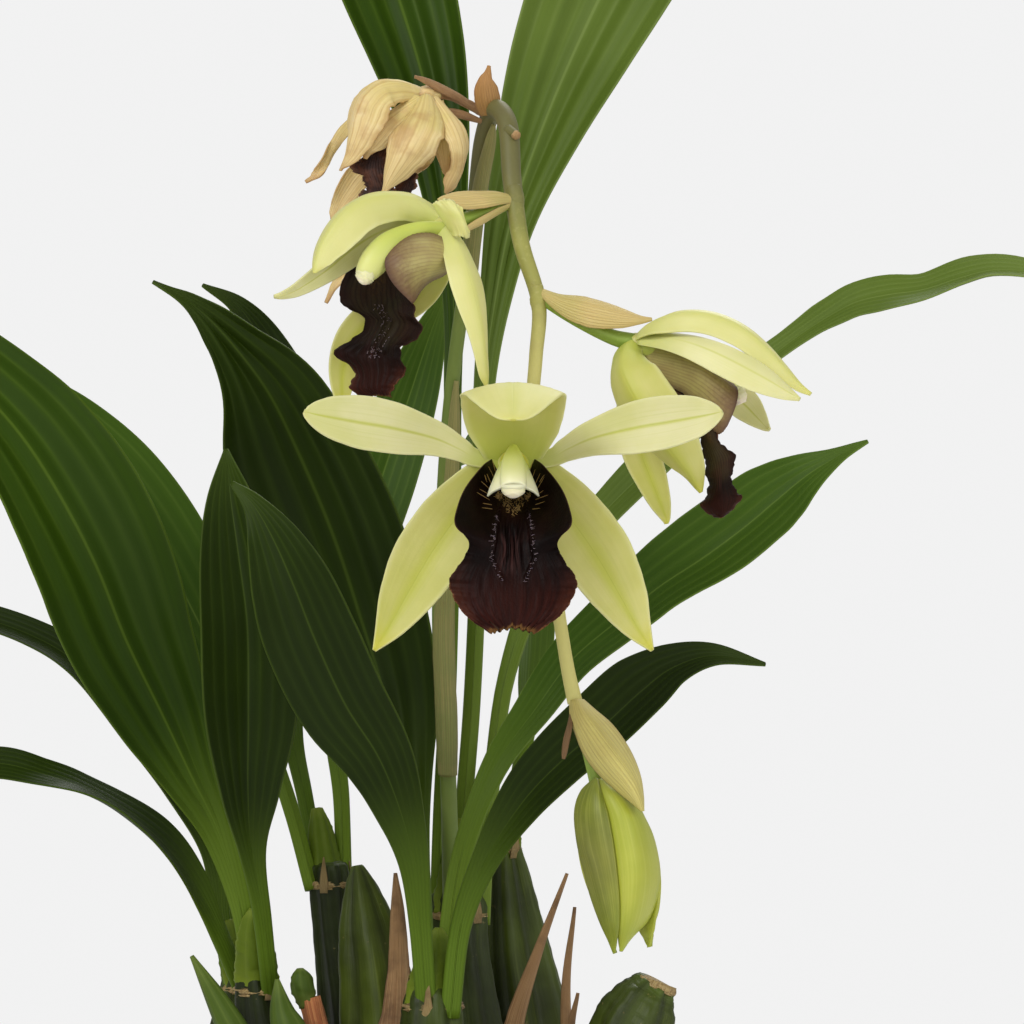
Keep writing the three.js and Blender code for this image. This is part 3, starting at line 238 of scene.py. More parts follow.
def lobe(rows, **look):
    spec = {**lobeDefaults, **look}
    seed, pace = spec["seed"], spec["pace"]

    def sheet(t, u):
        row, w = along(rows, t)[:, None], u[None, :, None]
        left, middle, right = row[..., 0:3], row[..., 3:6], row[..., 6:9]
        point = middle + (right - left) / 2 * w + ((left + right) / 2 - middle) * w ** 2
        edge = twoEdges(t, u, (seed, seed + 5), 4 * pace)
        uneven = spec["ragged"] * np.abs(u[None, :]) ** 6 * edge * smooth(0, 0.15, t)[:, None]
        return point + unit(right - left) * (uneven * np.sign(u[None, :]))[..., None]

    t, u = np.linspace(0, 1, spec["long"] + 1), np.linspace(-1, 1, spec["wide"] + 1)
    point, normal = sheet(t, u), sheetNormal(sheet, t, u)
    a = np.abs(u)[None, :]
    beat = twoEdges(t, u, (seed + 21, seed + 25), pace)
    rise = spec["ruffle"] * a ** 2 * beat * smooth(0, 0.2, t)[:, None]
    rise = rise + spec["fine"] * np.cos(2 * math.pi * spec["fineCount"] * u)[None, :] * (1 - a ** 4)
    rise = rise + spec["tuck"] * smooth(0.75, 1, a)
    point = point + normal * rise[..., None]
    low, high = spec["keelSpan"]
    span = (smooth(low, low + 0.1, t) * (1 - smooth(high - 0.15, high, t)))[:, None]
    ridge = np.zeros((1, 1))
    for place in spec["keels"]:
        ridge = ridge + np.exp(-((u[None, :] - place) / spec["keelWidth"]) ** 2) * span
    half = (mix(spec["thick"], spec["rim"], u ** 2)[None, :] * np.ones((len(t), 1)))[..., None] / 2
    back = point - normal * (half + spec["keelHeight"] * ridge[..., None])
    return plate(point + normal * half, back, u, t, spec["marks"])


# A stem or bulb. Path rows are [x, y, z, radius].
stemDefaults = {"sides": 16, "long": 40, "flat": 1, "ridges": 0, "ridgeCount": 5, "faces": [[0, -1, 0.01]],
                "lumps": 0, "rings": 0, "ringCount": 10, "seed": 3, "mark": 0, "least": 0.15}


def stem(path, **look):
    spec = {**stemDefaults, **look}
    t = np.linspace(0, 1, spec["long"] + 1)
    point, side, face = framesAt(path, spec["faces"], t)
    radius = np.maximum(spec["least"], along(path, t)[:, 3])
    angle = circle(spec["sides"])
    ridge = 1 - spec["ridges"] * (0.5 + 0.5 * np.cos(spec["ridgeCount"] * angle))[None, :]
    lumps = np.sin(3 * angle[None, :] + 5 * wander(spec["seed"], t, 3)[:, None])
    lumps = lumps + 0.6 * np.sin(5 * angle[None, :] + 7 * wander(spec["seed"] + 7, t, 2)[:, None])
    hoops = np.abs(np.sin(math.pi * spec["ringCount"] * t))[:, None] ** 0.5
    reach = radius[:, None] * ridge * (1 + spec["lumps"] * lumps) * (1 + spec["rings"] * (hoops - 0.5))
    across, lift = reach * np.cos(angle), reach * spec["flat"] * np.sin(angle)
    grid = point[:, None] + side[:, None] * across[..., None] + face[:, None] * lift[..., None]
    return rings(grid, t, spec["mark"])


# Materials

def srgb(red, green, blue):
    def linear(value):
        value /= 255
        return value / 12.92 if value <= 0.04045 else ((value + 0.055) / 1.055) ** 2.4
    return (linear(red), linear(green), linear(blue), 1.0)


class Wire:  # a socket that can be used in sums
    def __init__(self, paint, socket):
        self.paint, self.socket = paint, socket

    def math(self, operation, other=None, swap=False):
        values = [self] if other is None else ([other, self] if swap else [self, other])
        return self.paint.node("Math", {"operation": operation}, dict(enumerate(values)))

    def __add__(self, other):
        return self.math("ADD", other)

    def __radd__(self, other):
        return self.math("ADD", other, swap=True)

    def __sub__(self, other):
        return self.math("SUBTRACT", other)

    def __rsub__(self, other):
        return self.math("SUBTRACT", other, swap=True)

    def __mul__(self, other):
        return self.math("MULTIPLY", other)

    def __rmul__(self, other):
        return self.math("MULTIPLY", other, swap=True)

    def __pow__(self, other):
        return self.math("POWER", other)

    def size(self):
        return self.math("ABSOLUTE")

    def wave(self, count):  # 0 to 1, count crests over a length of 1
        return (self * (2 * math.pi * count)).math("COSINE") * 0.5 + 0.5

    def fading(self, low, high):  # 1 at low, 0 at high
        return 1 - self.between(low, high)

    def between(self, low, high):  # 0 at low, 1 at high
        limits = {"Value": self, "From Min": low, "From Max": high}
        return self.paint.node("MapRange", {"interpolation_type": "SMOOTHSTEP"}, limits)


class Paint:  # one material and the nodes that feed its shader
    def __init__(self, name):
        self.material = bpy.data.materials.new(name)
        self.material.use_nodes = True
        self.tree = self.material.node_tree
        self.tree.nodes.clear()
        self.shader = self.tree.nodes.new("ShaderNodeBsdfPrincipled")
        output = self.tree.nodes.new("ShaderNodeOutputMaterial")
        self.tree.links.new(self.shader.outputs[0], output.inputs[0])
        self.flat = self.node("UVMap", {"uv_map": "UVMap"})
        self.across = self.node("SeparateXYZ", {}, {0: self.flat}, out=0) * 2 - 1    # -1 to 1 across a blade
        self.length = self.node("SeparateXYZ", {}, {0: self.flat}, out=1)             # 0 foot to 1 tip
        self.back = self.node("Attribute", {"attribute_name": "mark"}, out="Fac")     # 1 on a blade's back

    def node(self, kind, settings=None, inputs=None, out=0):
        made = self.tree.nodes.new("ShaderNode" + kind)
        for key, value in (settings or {}).items():
            setattr(made, key, value)
        for key, value in (inputs or {}).items():
            self.feed(made.inputs[key], value)
        return Wire(self, made.outputs[out])

    def feed(self, socket, value):
        if isinstance(value, Wire):
            self.tree.links.new(value.socket, socket)
        else:
            socket.default_value = value

    def blend(self, first, second, share):  # two colours
        return self.node("Mix", {"data_type": "RGBA"}, {0: share, 6: first, 7: second}, out=2)

    def coats(self, base, *layers):  # colours laid over a base one, each with its share
        color = base if isinstance(base, Wire) else srgb(*base)
        for tone, share in layers:
            color = self.blend(color, srgb(*tone), share)
        return color

    def stretched(self, stretch, on="blade"):
        spot = self.flat if on == "blade" else self.node("TexCoord", out="Object")
        return self.node("VectorMath", {"operation": "MULTIPLY"}, {0: spot, 1: stretch})

    def noise(self, stretch, scale=1.0, detail=3.0, on="blade"):
        values = {"Vector": self.stretched(stretch, on), "Scale": scale, "Detail": detail, "Roughness": 0.55}
        return self.node("TexNoise", {}, values, out="Fac")

    def bodyNoise(self, scale, detail=3.0, stretch=(1, 1, 1)):  # by place on the plant, in metres
        return self.noise(stretch, scale, detail, on="body")

    def place(self, axis):  # in metres, as the part stands
        spot = self.node("TexCoord", out="Object")
        return self.node("SeparateXYZ", {}, {0: spot}, out="XYZ".index(axis))

    def finish(self, color, roughness, height=None, bump=(0.3, 0.0003), **plain):
        self.feed(self.shader.inputs["Base Color"], color)
        self.feed(self.shader.inputs["Roughness"], roughness)
        for key, value in plain.items():
            self.feed(self.shader.inputs[key.replace("_", " ")], value)
        if height is not None:
            values = {"Strength": bump[0], "Distance": bump[1], "Height": height}
            self.feed(self.shader.inputs["Normal"], self.node("Bump", {}, values, out="Normal"))
        return self.material


def softLight(scale, weight):  # thin tissue that lets light through
    return {"Subsurface_Weight": weight, "Subsurface_Scale": scale, "Subsurface_Radius": (1.0, 0.8, 0.3)}


# Camera, floor and light come first, so that every stage can be looked at.
camera = linked("camera", bpy.data.cameras.new("camera"))
camera.location = (0.015, -0.775, 0.226)
camera.rotation_euler = (math.pi / 2, 0, 0)
camera.data.lens, camera.data.sensor_width = 149.15, 36
camera.data.clip_start, camera.data.clip_end = 0.01, 20
bpy.context.scene.camera = camera

studio = {"floorRadius": 0.94, "floorFade": (0.62, 0.92), "floorLevel": -0.0005, "skyLight": 0.42,
          "skyShown": 0.885, "aim": (0, 0, 0.2),
          "lights": [("key", (-0.75, -1.15, 1.25), 0.9, 13.5), ("fill", (1.1, -0.9, 0.55), 1.0, 4.5),
                     ("back", (0.25, 1.1, 1.2), 0.8, 8.5), ("front", (0.1, -1.5, 0.35), 0.8, 2.8)]}


def addStudio():
    world = bpy.data.worlds.new("studio")
    bpy.context.scene.world = world
    world.use_nodes = True
    nodes, links = world.node_tree.nodes, world.node_tree.links
    nodes.clear()
    seen, lit = nodes.new("ShaderNodeBackground"), nodes.new("ShaderNodeBackground")
    shown = studio["skyShown"]
    seen.inputs["Color"].default_value = (shown, shown, shown, 1)
    lit.inputs["Color"].default_value = (1.0, 1.0, 1.0, 1)
    lit.inputs["Strength"].default_value = studio["skyLight"]
    kinds = ("MixShader", "LightPath", "OutputWorld")
    choose, path, output = (nodes.new("ShaderNode" + kind) for kind in kinds)
    links.new(path.outputs["Is Camera Ray"], choose.inputs[0])
    links.new(lit.outputs[0], choose.inputs[1])
    links.new(seen.outputs[0], choose.inputs[2])
    links.new(choose.outputs[0], output.inputs["Surface"])
    bpy.context.scene.view_settings.view_transform = "Standard"
    for name, place, size, power in studio["lights"]:
        light = bpy.data.lights.new(name, "AREA")
        light.shape, light.size, light.energy = "DISK", size, power
        lamp = linked(name, light)
        lamp.location = place
        lamp.rotation_euler = (Vector(studio["aim"]) - Vector(place)).to_track_quat("-Z", "Y").to_euler()

    paint = Paint("pale_floor")
    spot = paint.stretched((1, 1, 0), on="body")
    far = paint.node("VectorMath", {"operation": "LENGTH"}, {0: spot}, out="Value")
    paint.feed(paint.shader.inputs["Alpha"], 1 - far.between(*studio["floorFade"]))
    tone = paint.coats((240, 240, 239), ((234, 234, 233), paint.bodyNoise(3.0)))
    ring = [(studio["floorRadius"] * math.cos(a), studio["floorRadius"] * math.sin(a), studio["floorLevel"])
            for a in circle(96)]
    mesh = bpy.data.meshes.new("floor")
    mesh.from_pydata(ring, [], [tuple(range(len(ring)))])
    mesh.materials.append(paint.finish(tone, 0.85))
    floor = linked("floor", mesh)


addStudio()
print("studio ready")


# Pot and bark

potLook = {"height": 104, "rim": 65, "band": 20, "foot": 46, "wall": 5, "floor": 6, "sides": 128, "sway": 0.25,
           "dents": 0.12, "holes": 5, "holeRadius": 4.5, "holeRing": 27, "clay": (178, 98, 62),
           "burnt": (142, 70, 42), "lime": (214, 176, 148)}


def terracottaPaint():
    paint = Paint("terracotta")
    height, throwing = paint.place("Z"), paint.bodyNoise(1.0, 3, (14, 14, 420))
    patches, grain = paint.bodyNoise(26, 5), paint.bodyNoise(900, 2)
    bloom = paint.bodyNoise(38, 6).between(0.52, 0.72) * (0.25 + 0.6 * height.fading(0.0, 0.05))
    damp = height.fading(0.0, 0.03) * 0.35 + throwing.between(0.5, 0.75) * 0.22
    color = paint.coats(
        potLook["clay"], (potLook["burnt"], patches.between(0.35, 0.7) * 0.75), (potLook["lime"], bloom * 0.55),
        ((112, 58, 38), damp), ((205, 128, 88), grain.between(0.6, 0.8) * 0.35))
    return paint.finish(color, 0.78 + 0.14 * grain, grain * 0.5 + throwing * 0.8, (0.35, 0.0005))


def addPot():
    tall, rim, foot, floor, wall = (potLook[key] for key in ("height", "rim", "foot", "floor", "wall"))
    bodyTop, inner = tall - potLook["band"], floor + 2

    def wallAt(z):
        return foot + (rim - 5 - foot) / bodyTop * z

    profile = np.array([
        [0.2, 0], [30, 0], [foot - 1.8, 0], [foot - 0.5, 0.4], [foot, 1.6], [wallAt(30), 30], [wallAt(58), 58],
        [wallAt(bodyTop) - 0.2, bodyTop - 0.6], [wallAt(bodyTop) + 1.2, bodyTop], [rim - 1.4, bodyTop + 1],
        [rim - 0.2, bodyTop + 3], [rim, bodyTop + 9], [rim, tall - 3], [rim - 0.8, tall - 0.8],
        [rim - 2.4, tall], [rim - 5, tall], [rim - 6.6, tall - 0.9], [rim - 7.4, tall - 2.6],
        [wallAt(bodyTop) - wall + 1, bodyTop], [wallAt(inner) - wall, inner], [foot - 9, floor], [20, floor],
        [0.2, floor]])
    fine = []
    for a, b in zip(profile[:-1], profile[1:]):
        steps = max(1, int(np.linalg.norm(b - a) / 5))
        fine += [mix(a, b, k / steps) for k in range(steps)]
    fine = np.array(fine + [profile[-1]])
    angle = circle(potLook["sides"])
    sway = potLook["sway"] * wander(4, angle / (2 * math.pi))[None, :] * smooth(0, 30, fine[:, 0])[:, None]
    dents = potLook["dents"] * np.sin(fine[:, 1] * 0.9)[:, None] * smooth(40, 46, fine[:, 0])[:, None]
    radius = fine[:, 0][:, None] + sway + dents
    grid = np.stack([radius * np.cos(angle), radius * np.sin(angle), fine[:, 1][:, None] + 0 * radius], -1)
    body = rings(grid, np.linspace(0, 1, len(fine)))
    piece = addPiece("pot_clay", [body], terracottaPaint(), ["pot"])
    for turn in circle(potLook["holes"]):
        x, y = potLook["holeRing"] * math.cos(turn), potLook["holeRing"] * math.sin(turn)
        bit = potLook["holeRadius"]
        tube = stem([[x, y, -3, bit], [x, y, 9, bit + 0.6]], sides=24, long=4)
        mesh = bpy.data.meshes.new("drill")
        mesh.from_pydata(tube["points"] * millimetre, [], facesOf(tube))
        drill = linked("drill", mesh)
        bore = piece.modifiers.new("bore", "BOOLEAN")
        bore.operation, bore.object, bore.solver = "DIFFERENCE", drill, "EXACT"
        bpy.context.view_layer.update()
        drilled = piece.evaluated_get(bpy.context.evaluated_depsgraph_get())
        drilled = bpy.data.meshes.new_from_object(drilled)
        piece.modifiers.clear()
        piece.data = drilled
        bpy.data.objects.remove(drill)


addPot()
print("pot done")

barkLook = {"top": 96, "chips": 190, "reach": 51, "seed": 21, "turn": 137.5, "long": (5.5, 12),
            "wide": (3, 6.5), "thick": (0.32, 0.62), "lift": (-1.6, 1.5), "tilt": 0.32,
            "brown": (92, 62, 42), "dark": (44, 28, 19), "pale": (150, 112, 78)}


def barkPaint():
    paint = Paint("bark_chips")
    chip, grain = paint.back, paint.noise((2, 26, 1), 3.0, 5)
    crust, patches = paint.bodyNoise(420, 5), paint.bodyNoise(90, 4)
    color = paint.coats(
        barkLook["dark"], (barkLook["brown"], chip.between(0.0, 0.7)),
        (barkLook["pale"], grain.between(0.5, 0.75) * chip * 0.8),
        ((34, 22, 15), crust.between(0.55, 0.75) * 0.7),
        ((104, 98, 62), patches.between(0.62, 0.8) * 0.35))
    return paint.finish(color, 0.82 + 0.12 * crust, grain * 0.7 + crust, (0.6, 0.0009))


def addBark():
    random = np.random.RandomState(barkLook["seed"])
    top = barkLook["top"]
    rows = [(0.4, top - 5), (18, top - 4.4), (36, top - 4.8), (50, top - 6), (53.6, top - 9), (51.6, top - 16),
            (40, 14), (12, 10), (0.4, 10)]
    bed = np.array([[[r * math.cos(a), r * math.sin(a), z + (0.8 * math.sin(r + 5 * a) if r > 5 else 0)]
                     for a in circle(72)] for r, z in rows])
    chips = [rings(bed, np.linspace(0, 1, len(rows)), 0.15)]
    for k in range(barkLook["chips"]):
        radius = barkLook["reach"] * math.sqrt((k + 0.5) / barkLook["chips"])
        turn = k * barkLook["turn"] * degree
        long, wide, thick = (random.uniform(*barkLook[key]) for key in ("long", "wide", "thick"))
        x, y = radius * math.cos(turn), radius * math.sin(turn)
        z = top - 2.4 + random.uniform(*barkLook["lift"])
        heading, tilt = random.uniform(0, 2 * math.pi), random.uniform(-barkLook["tilt"], barkLook["tilt"])
        dx, dy, dz = math.cos(heading), math.sin(heading), math.sin(tilt)
        reach = min(long / 2, 0.5 * (56.5 - radius) + 2)
        path = [[x + s * dx * reach, y + s * dy * reach, z + s * dz * reach,
                 wide * w * random.uniform(0.85, 1.1) / 2]
                for s, w in ((-1, 0.55), (-0.8, 0.95), (0, 1.1), (0.75, 0.95), (1, 0.5))]
        lean = [random.uniform(-0.5, 0.5), random.uniform(-0.5, 0.5), 1]
        chips.append(stem(path, sides=9, long=7, flat=thick, faces=[lean], lumps=0.13, seed=200 + k,
                          mark=random.uniform(0.1, 1)))
    addPiece("bark_chips", chips, barkPaint(), ["bark"], flat=True)


addBark()
print("bark done")

# Rhizome, roots and pseudobulbs

rhizomePaths = [
  [[-43, 8, 94, 3.6], [-30, 0, 94.5, 4.2], [-17, -2, 94, 4.2], [-4, -8, 94.5, 4.2], [6, -18, 94, 4],
    [3, -31, 93, 3]],
  [[-12, 20, 93, 3], [-10, 8, 94, 4], [-6, -4, 94, 4.2]],
  [[0, -9, 94, 4.2], [12, 2, 94, 4.2], [24, 16, 94, 4.2], [23, 30, 93, 3]],
  [[11, 0, 94, 4], [24, -10, 94, 4.2], [38, -18, 93, 3]],
]

rootPaths = [
  [[-34, 4, 95, 1.3], [-44, -4, 97.3, 1.2], [-50, -14, 96.5, 1.1], [-49, -25, 92, 0.9]],
  [[-12, -8, 95, 1.3], [-20, -20, 98, 1.2], [-24, -33, 97.3, 1.1], [-20, -44, 92, 0.9]],
  [[14, 2, 96, 1.3], [26, 2, 98, 1.2], [39, 5, 97.5, 1.1], [49, 3, 92, 0.9]],
  [[8, -22, 95, 1.2], [17, -33, 98, 1.2], [22, -42, 97, 1.1], [20, -50, 92, 0.9]],
  [[-10, 17, 95, 1.2], [-16, 30, 98, 1.2], [-14, 41, 97, 1.1], [-8, 50, 92, 0.9]],
]


def rhizomePaint():
    paint = Paint("rhizome")
    length, speckle = paint.length, paint.bodyNoise(520, 5)
    fibres = paint.noise((18, 3, 1), 4.0, 4)
    color = paint.coats(
        (98, 70, 42), ((58, 40, 24), paint.bodyNoise(120, 4).between(0.35, 0.65)),
        ((158, 126, 84), fibres.between(0.55, 0.75) * 0.6),
        ((196, 184, 150), paint.back * (0.5 + 0.4 * speckle)),
        ((64, 84, 34), length.fading(0.0, 0.2) * 0.2))
    return paint.finish(color, 0.75 + 0.15 * speckle, fibres + speckle * 0.6, (0.6, 0.0006))


sideRoots = {"count": 12, "seed": 5, "reach": (12, 24), "bend": (-0.8, 0.8), "x": (-22, 22), "y": (-20, 18),
             "steps": ((0, 0, 94, 0.9), (0.4, 0, 97.4, 0.8), (0.8, 1, 97.2, 0.7), (1, 1.3, 93.5, 0.5))}


def addRhizome():
    up = [[0, 0, 1]]
    creeping = [stem(path, sides=22, long=60, lumps=0.09, rings=0.16, ringCount=11 + 3 * k, seed=30 + k,
                     faces=up) for k, path in enumerate(rhizomePaths)]
    roots = [stem(path, sides=12, long=50, lumps=0.08, seed=50 + k, faces=up, mark=0.9)
             for k, path in enumerate(rootPaths)]
    random = np.random.RandomState(sideRoots["seed"])
    for k in range(sideRoots["count"]):  # thin ones over the bark
        turn = random.uniform(0, 2 * math.pi)
        reach, bend, x, y = (random.uniform(*sideRoots[key]) for key in ("reach", "bend", "x", "y"))
        path = [[x + share * reach * math.cos(turn + curl * bend),
                 y + share * reach * math.sin(turn + curl * bend), z, radius]
                for share, curl, z, radius in sideRoots["steps"]]
        roots.append(stem(path, sides=10, long=36, lumps=0.08, seed=70 + k, faces=up, mark=0.8))
    addPiece("rhizome_roots", creeping + roots, rhizomePaint(), ["rhizome"])


bulbs = {
  "pseudobulb_front_left": [[-26, -9, 97, 6.6], [-26, -9, 108, 9], [-28, -10, 124, 7.2], [-30.5, -11, 137, 4.8],
    [-31, -11, 143, 4]],
  "pseudobulb_left": [[-41, 8, 97, 6], [-40, 7, 107, 8.2], [-37, 4, 122, 6.6], [-35, 2, 134, 4.6],
    [-34, 1, 141, 3.8]],
  "pseudobulb_slim": [[-11, 16, 98, 6.5], [-12, 16, 112, 8.8], [-15, 14, 132, 6.4], [-18, 13.5, 148, 4.2],
    [-19, 13.5, 159, 4]],
  "pseudobulb_middle": [[-8, -5, 98, 6.2], [-8, -6, 112, 8.6], [-9, -6, 131, 7.8], [-10, -6, 143, 7],
    [-11.3, -5, 151, 5.6], [-12.4, -4.4, 157.5, 3.4], [-13, -4, 161, 1.6]],
  "pseudobulb_front": [[2, -26, 97, 7], [2, -26, 107, 9.6], [1, -25, 121, 8.4], [1, -24, 133, 6.2],
    [1, -23, 140, 5.2]],
  "pseudobulb_back": [[9, 2, 97, 6.6], [9, 2, 110, 8.6], [7, 4, 128, 7.4], [5.5, 6.5, 144, 5.8],
    [5, 8, 154, 5.6]],
  "pseudobulb_large": [[21.5, 25, 97, 8.8], [20, 25, 110, 11.2], [16.8, 24.2, 130, 10], [14.7, 23.5, 145, 7.9],
    [13.8, 23, 156, 5.6], [13.4, 23, 163.5, 3.4]],
  "pseudobulb_right": [[34, -16, 97, 8], [35, -17, 110, 11.4], [36.2, -18.6, 126, 9.8], [37, -19.5, 134, 8.2],
    [38.6, -20, 138.2, 6.5], [39.9, -20, 140.5, 5], [40.9, -20.1, 142, 3.8]],
}


necks = [
  [[-30.8, -11, 140, 4.3], [-31, -12.2, 144.5, 4.1], [-31.2, -14.2, 149, 3.5], [-31.4, -15.8, 152.6, 2.4],
    [-31.4, -16.8, 155, 0.8]],
  [[-34, 1, 139, 4], [-35, 1, 143.4, 3.8], [-36, 1.2, 147.6, 3], [-37, 1.5, 151.4, 0.9]],
  [[-19, 13.5, 157, 4], [-19.7, 14.3, 160, 3.3], [-20.2, 15, 163.6, 2.8], [-20.8, 16, 167.2, 2.3],
    [-21.4, 17.2, 170.6, 1.1]],
  [[1, -23, 138.6, 5.3], [1.3, -23.3, 142.4, 4.9], [1.6, -23.6, 146.2, 4.1], [1.9, -23.9, 149.8, 2.6],
    [2, -24, 152.4, 0.8]],
  [[5, 8, 152, 5.7], [5, 8.4, 156.4, 5.2], [5.2, 8.8, 161, 4.2], [5.3, 9.2, 165.6, 2.8],
    [5.4, 9.4, 169.4, 0.9]],
  [[13.4, 23, 162.6, 3.4], [14, 24.6, 166.4, 3], [15.2, 27.4, 170.8, 2.3], [16, 30, 174.4, 0.8]],
]
bulbTones = {"pseudobulb_front_left": 0.1, "pseudobulb_left": 0.25, "pseudobulb_slim": 0.15,
  "pseudobulb_middle": 0.7, "pseudobulb_front": 0.35, "pseudobulb_back": 0.25, "pseudobulb_large": 0.6,
  "pseudobulb_right": 0.5}
bulbCut = [[40.7, -20.1, 141.6, 3.65], [41.05, -20.15, 142.25, 3.6], [41.12, -20.15, 142.4, 3.1]]


def bulbPaint():
    paint = Paint("pseudobulb")
    around, length, tone = paint.across * 0.5 + 0.5, paint.length, paint.back
    patches, specks = paint.bodyNoise(70, 4), paint.bodyNoise(700, 2)
    streaks = paint.noise((34, 2.2, 1), 1.6, 4)
    color = paint.coats(
        (14, 20, 2), ((32, 44, 7), patches.between(0.35, 0.7)),
        ((98, 114, 34), tone * (0.42 + 0.38 * patches.between(0.3, 0.7))),
        # pale streaks along the bulb: painted highlight on the glossy skin, stronger on the lighter bulbs
        ((112, 124, 50), streaks.between(0.5, 0.8) * (0.06 + 0.5 * tone)),
        ((92, 112, 38), length.between(0.8, 1.0) * (0.25 + 0.35 * tone)),
        ((70, 48, 26), length.fading(0.0, 0.2) * (0.55 + 0.4 * patches)),
        ((140, 126, 78), specks.between(0.7, 0.76) * 0.4),
        # dark lines in six places round the bulb, where its grooves fall: painted shade in the grooves
        ((20, 24, 8), around.wave(6) ** 4 * 0.5))
    rough = 0.34 + 0.22 * streaks + length.fading(0.0, 0.2) * 0.25
    return paint.finish(color, rough, streaks + specks * 0.3, (0.35, 0.0005), Specular_IOR_Level=0.26)


shreds = {"count": 3, "tall": (2.5, 7), "flare": (-0.5, 0.3), "foot": (0.7, 1.4), "waist": (0.5, 1.1)}


def collar(neck, j, random):  # the torn foot of an old sheath round a neck
    x, y, z, radius = neck[0]
    ring = [[x, y, z + up, radius + out] for up, out in ((-0.9, -0.25), (-0.2, 0.06), (0.2, 0.04), (0.6, -0.4))]
    parts = [stem(ring, sides=36, long=10, lumps=0.05, seed=130 + j)]
    for k in range(shreds["count"]):
        turn = 2 * math.pi * (k + random.uniform(0.1, 0.9)) / shreds["count"]
        dx, dy, tall = math.cos(turn), math.sin(turn), random.uniform(*shreds["tall"])
        reach, flare = radius + 0.05, random.uniform(*shreds["flare"])
        spine = [[x + reach * dx, y + reach * dy, z - 1.5, random.uniform(*shreds["foot"])],
                 [x + reach * dx, y + reach * dy, z + 0.8, random.uniform(*shreds["waist"])],
                 [x + (reach + flare) * dx, y + (reach + flare) * dy, z + tall, 0.1]]
        parts.append(blade(spine=spine, faces=[[dx, dy, 0.05]], cup=-0.5, thick=0.25, rim=0.15, long=18,
                           wide=10, ragged=0.3, crinkle=0.1, least=0.1, seed=140 + 4 * j + k))
    return parts


def addBulbs():
    skin = bulbPaint()
    for k, (name, rows) in enumerate(bulbs.items()):
        ribs = 0.26 if name == "pseudobulb_large" else 0.14
        tip = np.array(rows[-1], float)
        lean = (tip - np.array(rows[-2], float))[:3]
        lean = lean / np.linalg.norm(lean) * tip[3]
        closed = rows if name == "pseudobulb_right" else rows + [[*(tip[:3] + lean * 0.5), tip[3] * 0.62]]
        body = stem(closed, sides=80, long=60, ridges=ribs, ridgeCount=6 + k % 3, lumps=0.012, seed=90 + k,
                    mark=bulbTones[name])
        addPiece(name + "_ribbed", [body], skin, [name])
    wrapped = [stem(rows, sides=40, long=30, ridges=0.16, ridgeCount=5 + k % 3, flat=0.85, lumps=0.03,
                    faces=[[0.3, -1, 0.01]], seed=104 + k, mark=0.3) for k, rows in enumerate(necks)]
    green = leafPaint("leaf_stalk_base", (76, 96, 18), (98, 116, 28), (140, 152, 62), (112, 128, 36))
    addPiece("leaf_bases_wrapped", wrapped, green)
    random = np.random.RandomState(8)
    ragged = [part for j, neck in enumerate(necks) for part in collar(neck, j, random)]
    tan = dryPaint("sheath_remains", (190, 166, 112), (142, 116, 70), (92, 68, 40))
    addPiece("bulb_collars_torn", ragged, tan)
    addPiece("bulb_scar", [stem(bulbCut, sides=30, long=10, lumps=0.02)], tan)


# Old scales, fibres and young growth at the foot of the plant

shoots = [
  [[-20, -26, 97, 4], [-24, -25.5, 112, 4.4], [-30, -24, 126, 3.6], [-36, -22, 137, 2.4], [-42, -20, 147, 0.4]],
  [[-17, -28, 97, 4], [-19, -28, 115, 4.2], [-23.5, -27, 132, 3.6], [-25.6, -26, 138, 2.2],
    [-26.5, -25.5, 143.5, 0.4]],
]

oldSpike = [[-12, -20.5, 97, 2.4], [-15.5, -20.5, 116, 2.3], [-21, -19.5, 139.5, 2.1]]
spikeKnob = [[-21.4, -19.6, 138, 1.5], [-22.2, -19.8, 141, 2.1], [-22.6, -20, 143.4, 1.8],
  [-22.7, -20, 144.8, 0.6]]

drySheaths = {
  "dry_sheath_front": {"faces": [[-0.4, 0.9, 0]], "cup": 0.7, "spine": [[12, -6, 97, 3.2],
    [13.2, -7.5, 116, 2.9], [15.6, -8, 133, 2.1], [20, -7, 147, 1.0], [25, -6, 160.5, 0.3]]},
  "dry_sheath_back": {"faces": [[-0.3, 0.9, 0]], "cup": 0.6, "spine": [[28, 6, 95, 1.8], [26, 8, 116, 1.5],
    [25, 9, 137, 0.95], [26.6, 9, 153, 0.3]]},
  "dry_sheath_small": {"faces": [[-0.3, 0.9, 0]], "cup": 0.5, "spine": [[23, -9, 95, 1.7], [24.5, -7, 115, 1.4],
    [25.6, -4, 131, 0.8], [27, -3, 138.5, 0.3]]},
  "dry_sheath_middle": {"faces": [[0, 1, 0]], "cup": 0.9, "spine": [[-7, -17.6, 97, 4], [-7, -17.6, 112, 4.6],
    [-6, -16, 130, 3.6], [-5.4, -13.6, 144, 2.2], [-5.6, -12, 154, 1.4], [-6, -11, 161, 0.3]]},
}


def dryPaint(name, pale, brown, dark):
    paint = Paint(name)
    fibres, patches = paint.noise((30, 1.4, 1), 2.0, 5), paint.bodyNoise(150, 5)
    color = paint.coats(
        brown, (pale, fibres.between(0.35, 0.7)),
        (dark, patches.between(0.45, 0.75) * 0.75),
        (dark, paint.across.size().between(0.75, 1.0) * 0.4))
    return paint.finish(color, 0.62 + 0.2 * fibres, fibres, (0.7, 0.0007), **softLight(0.001, 0.12))


drySheathLook = {"long": 70, "wide": 28, "thick": 0.35, "rim": 0.2, "least": 0.12, "ragged": 0.22,
                 "crinkle": 0.35, "fine": 0.1, "fineCount": 5}


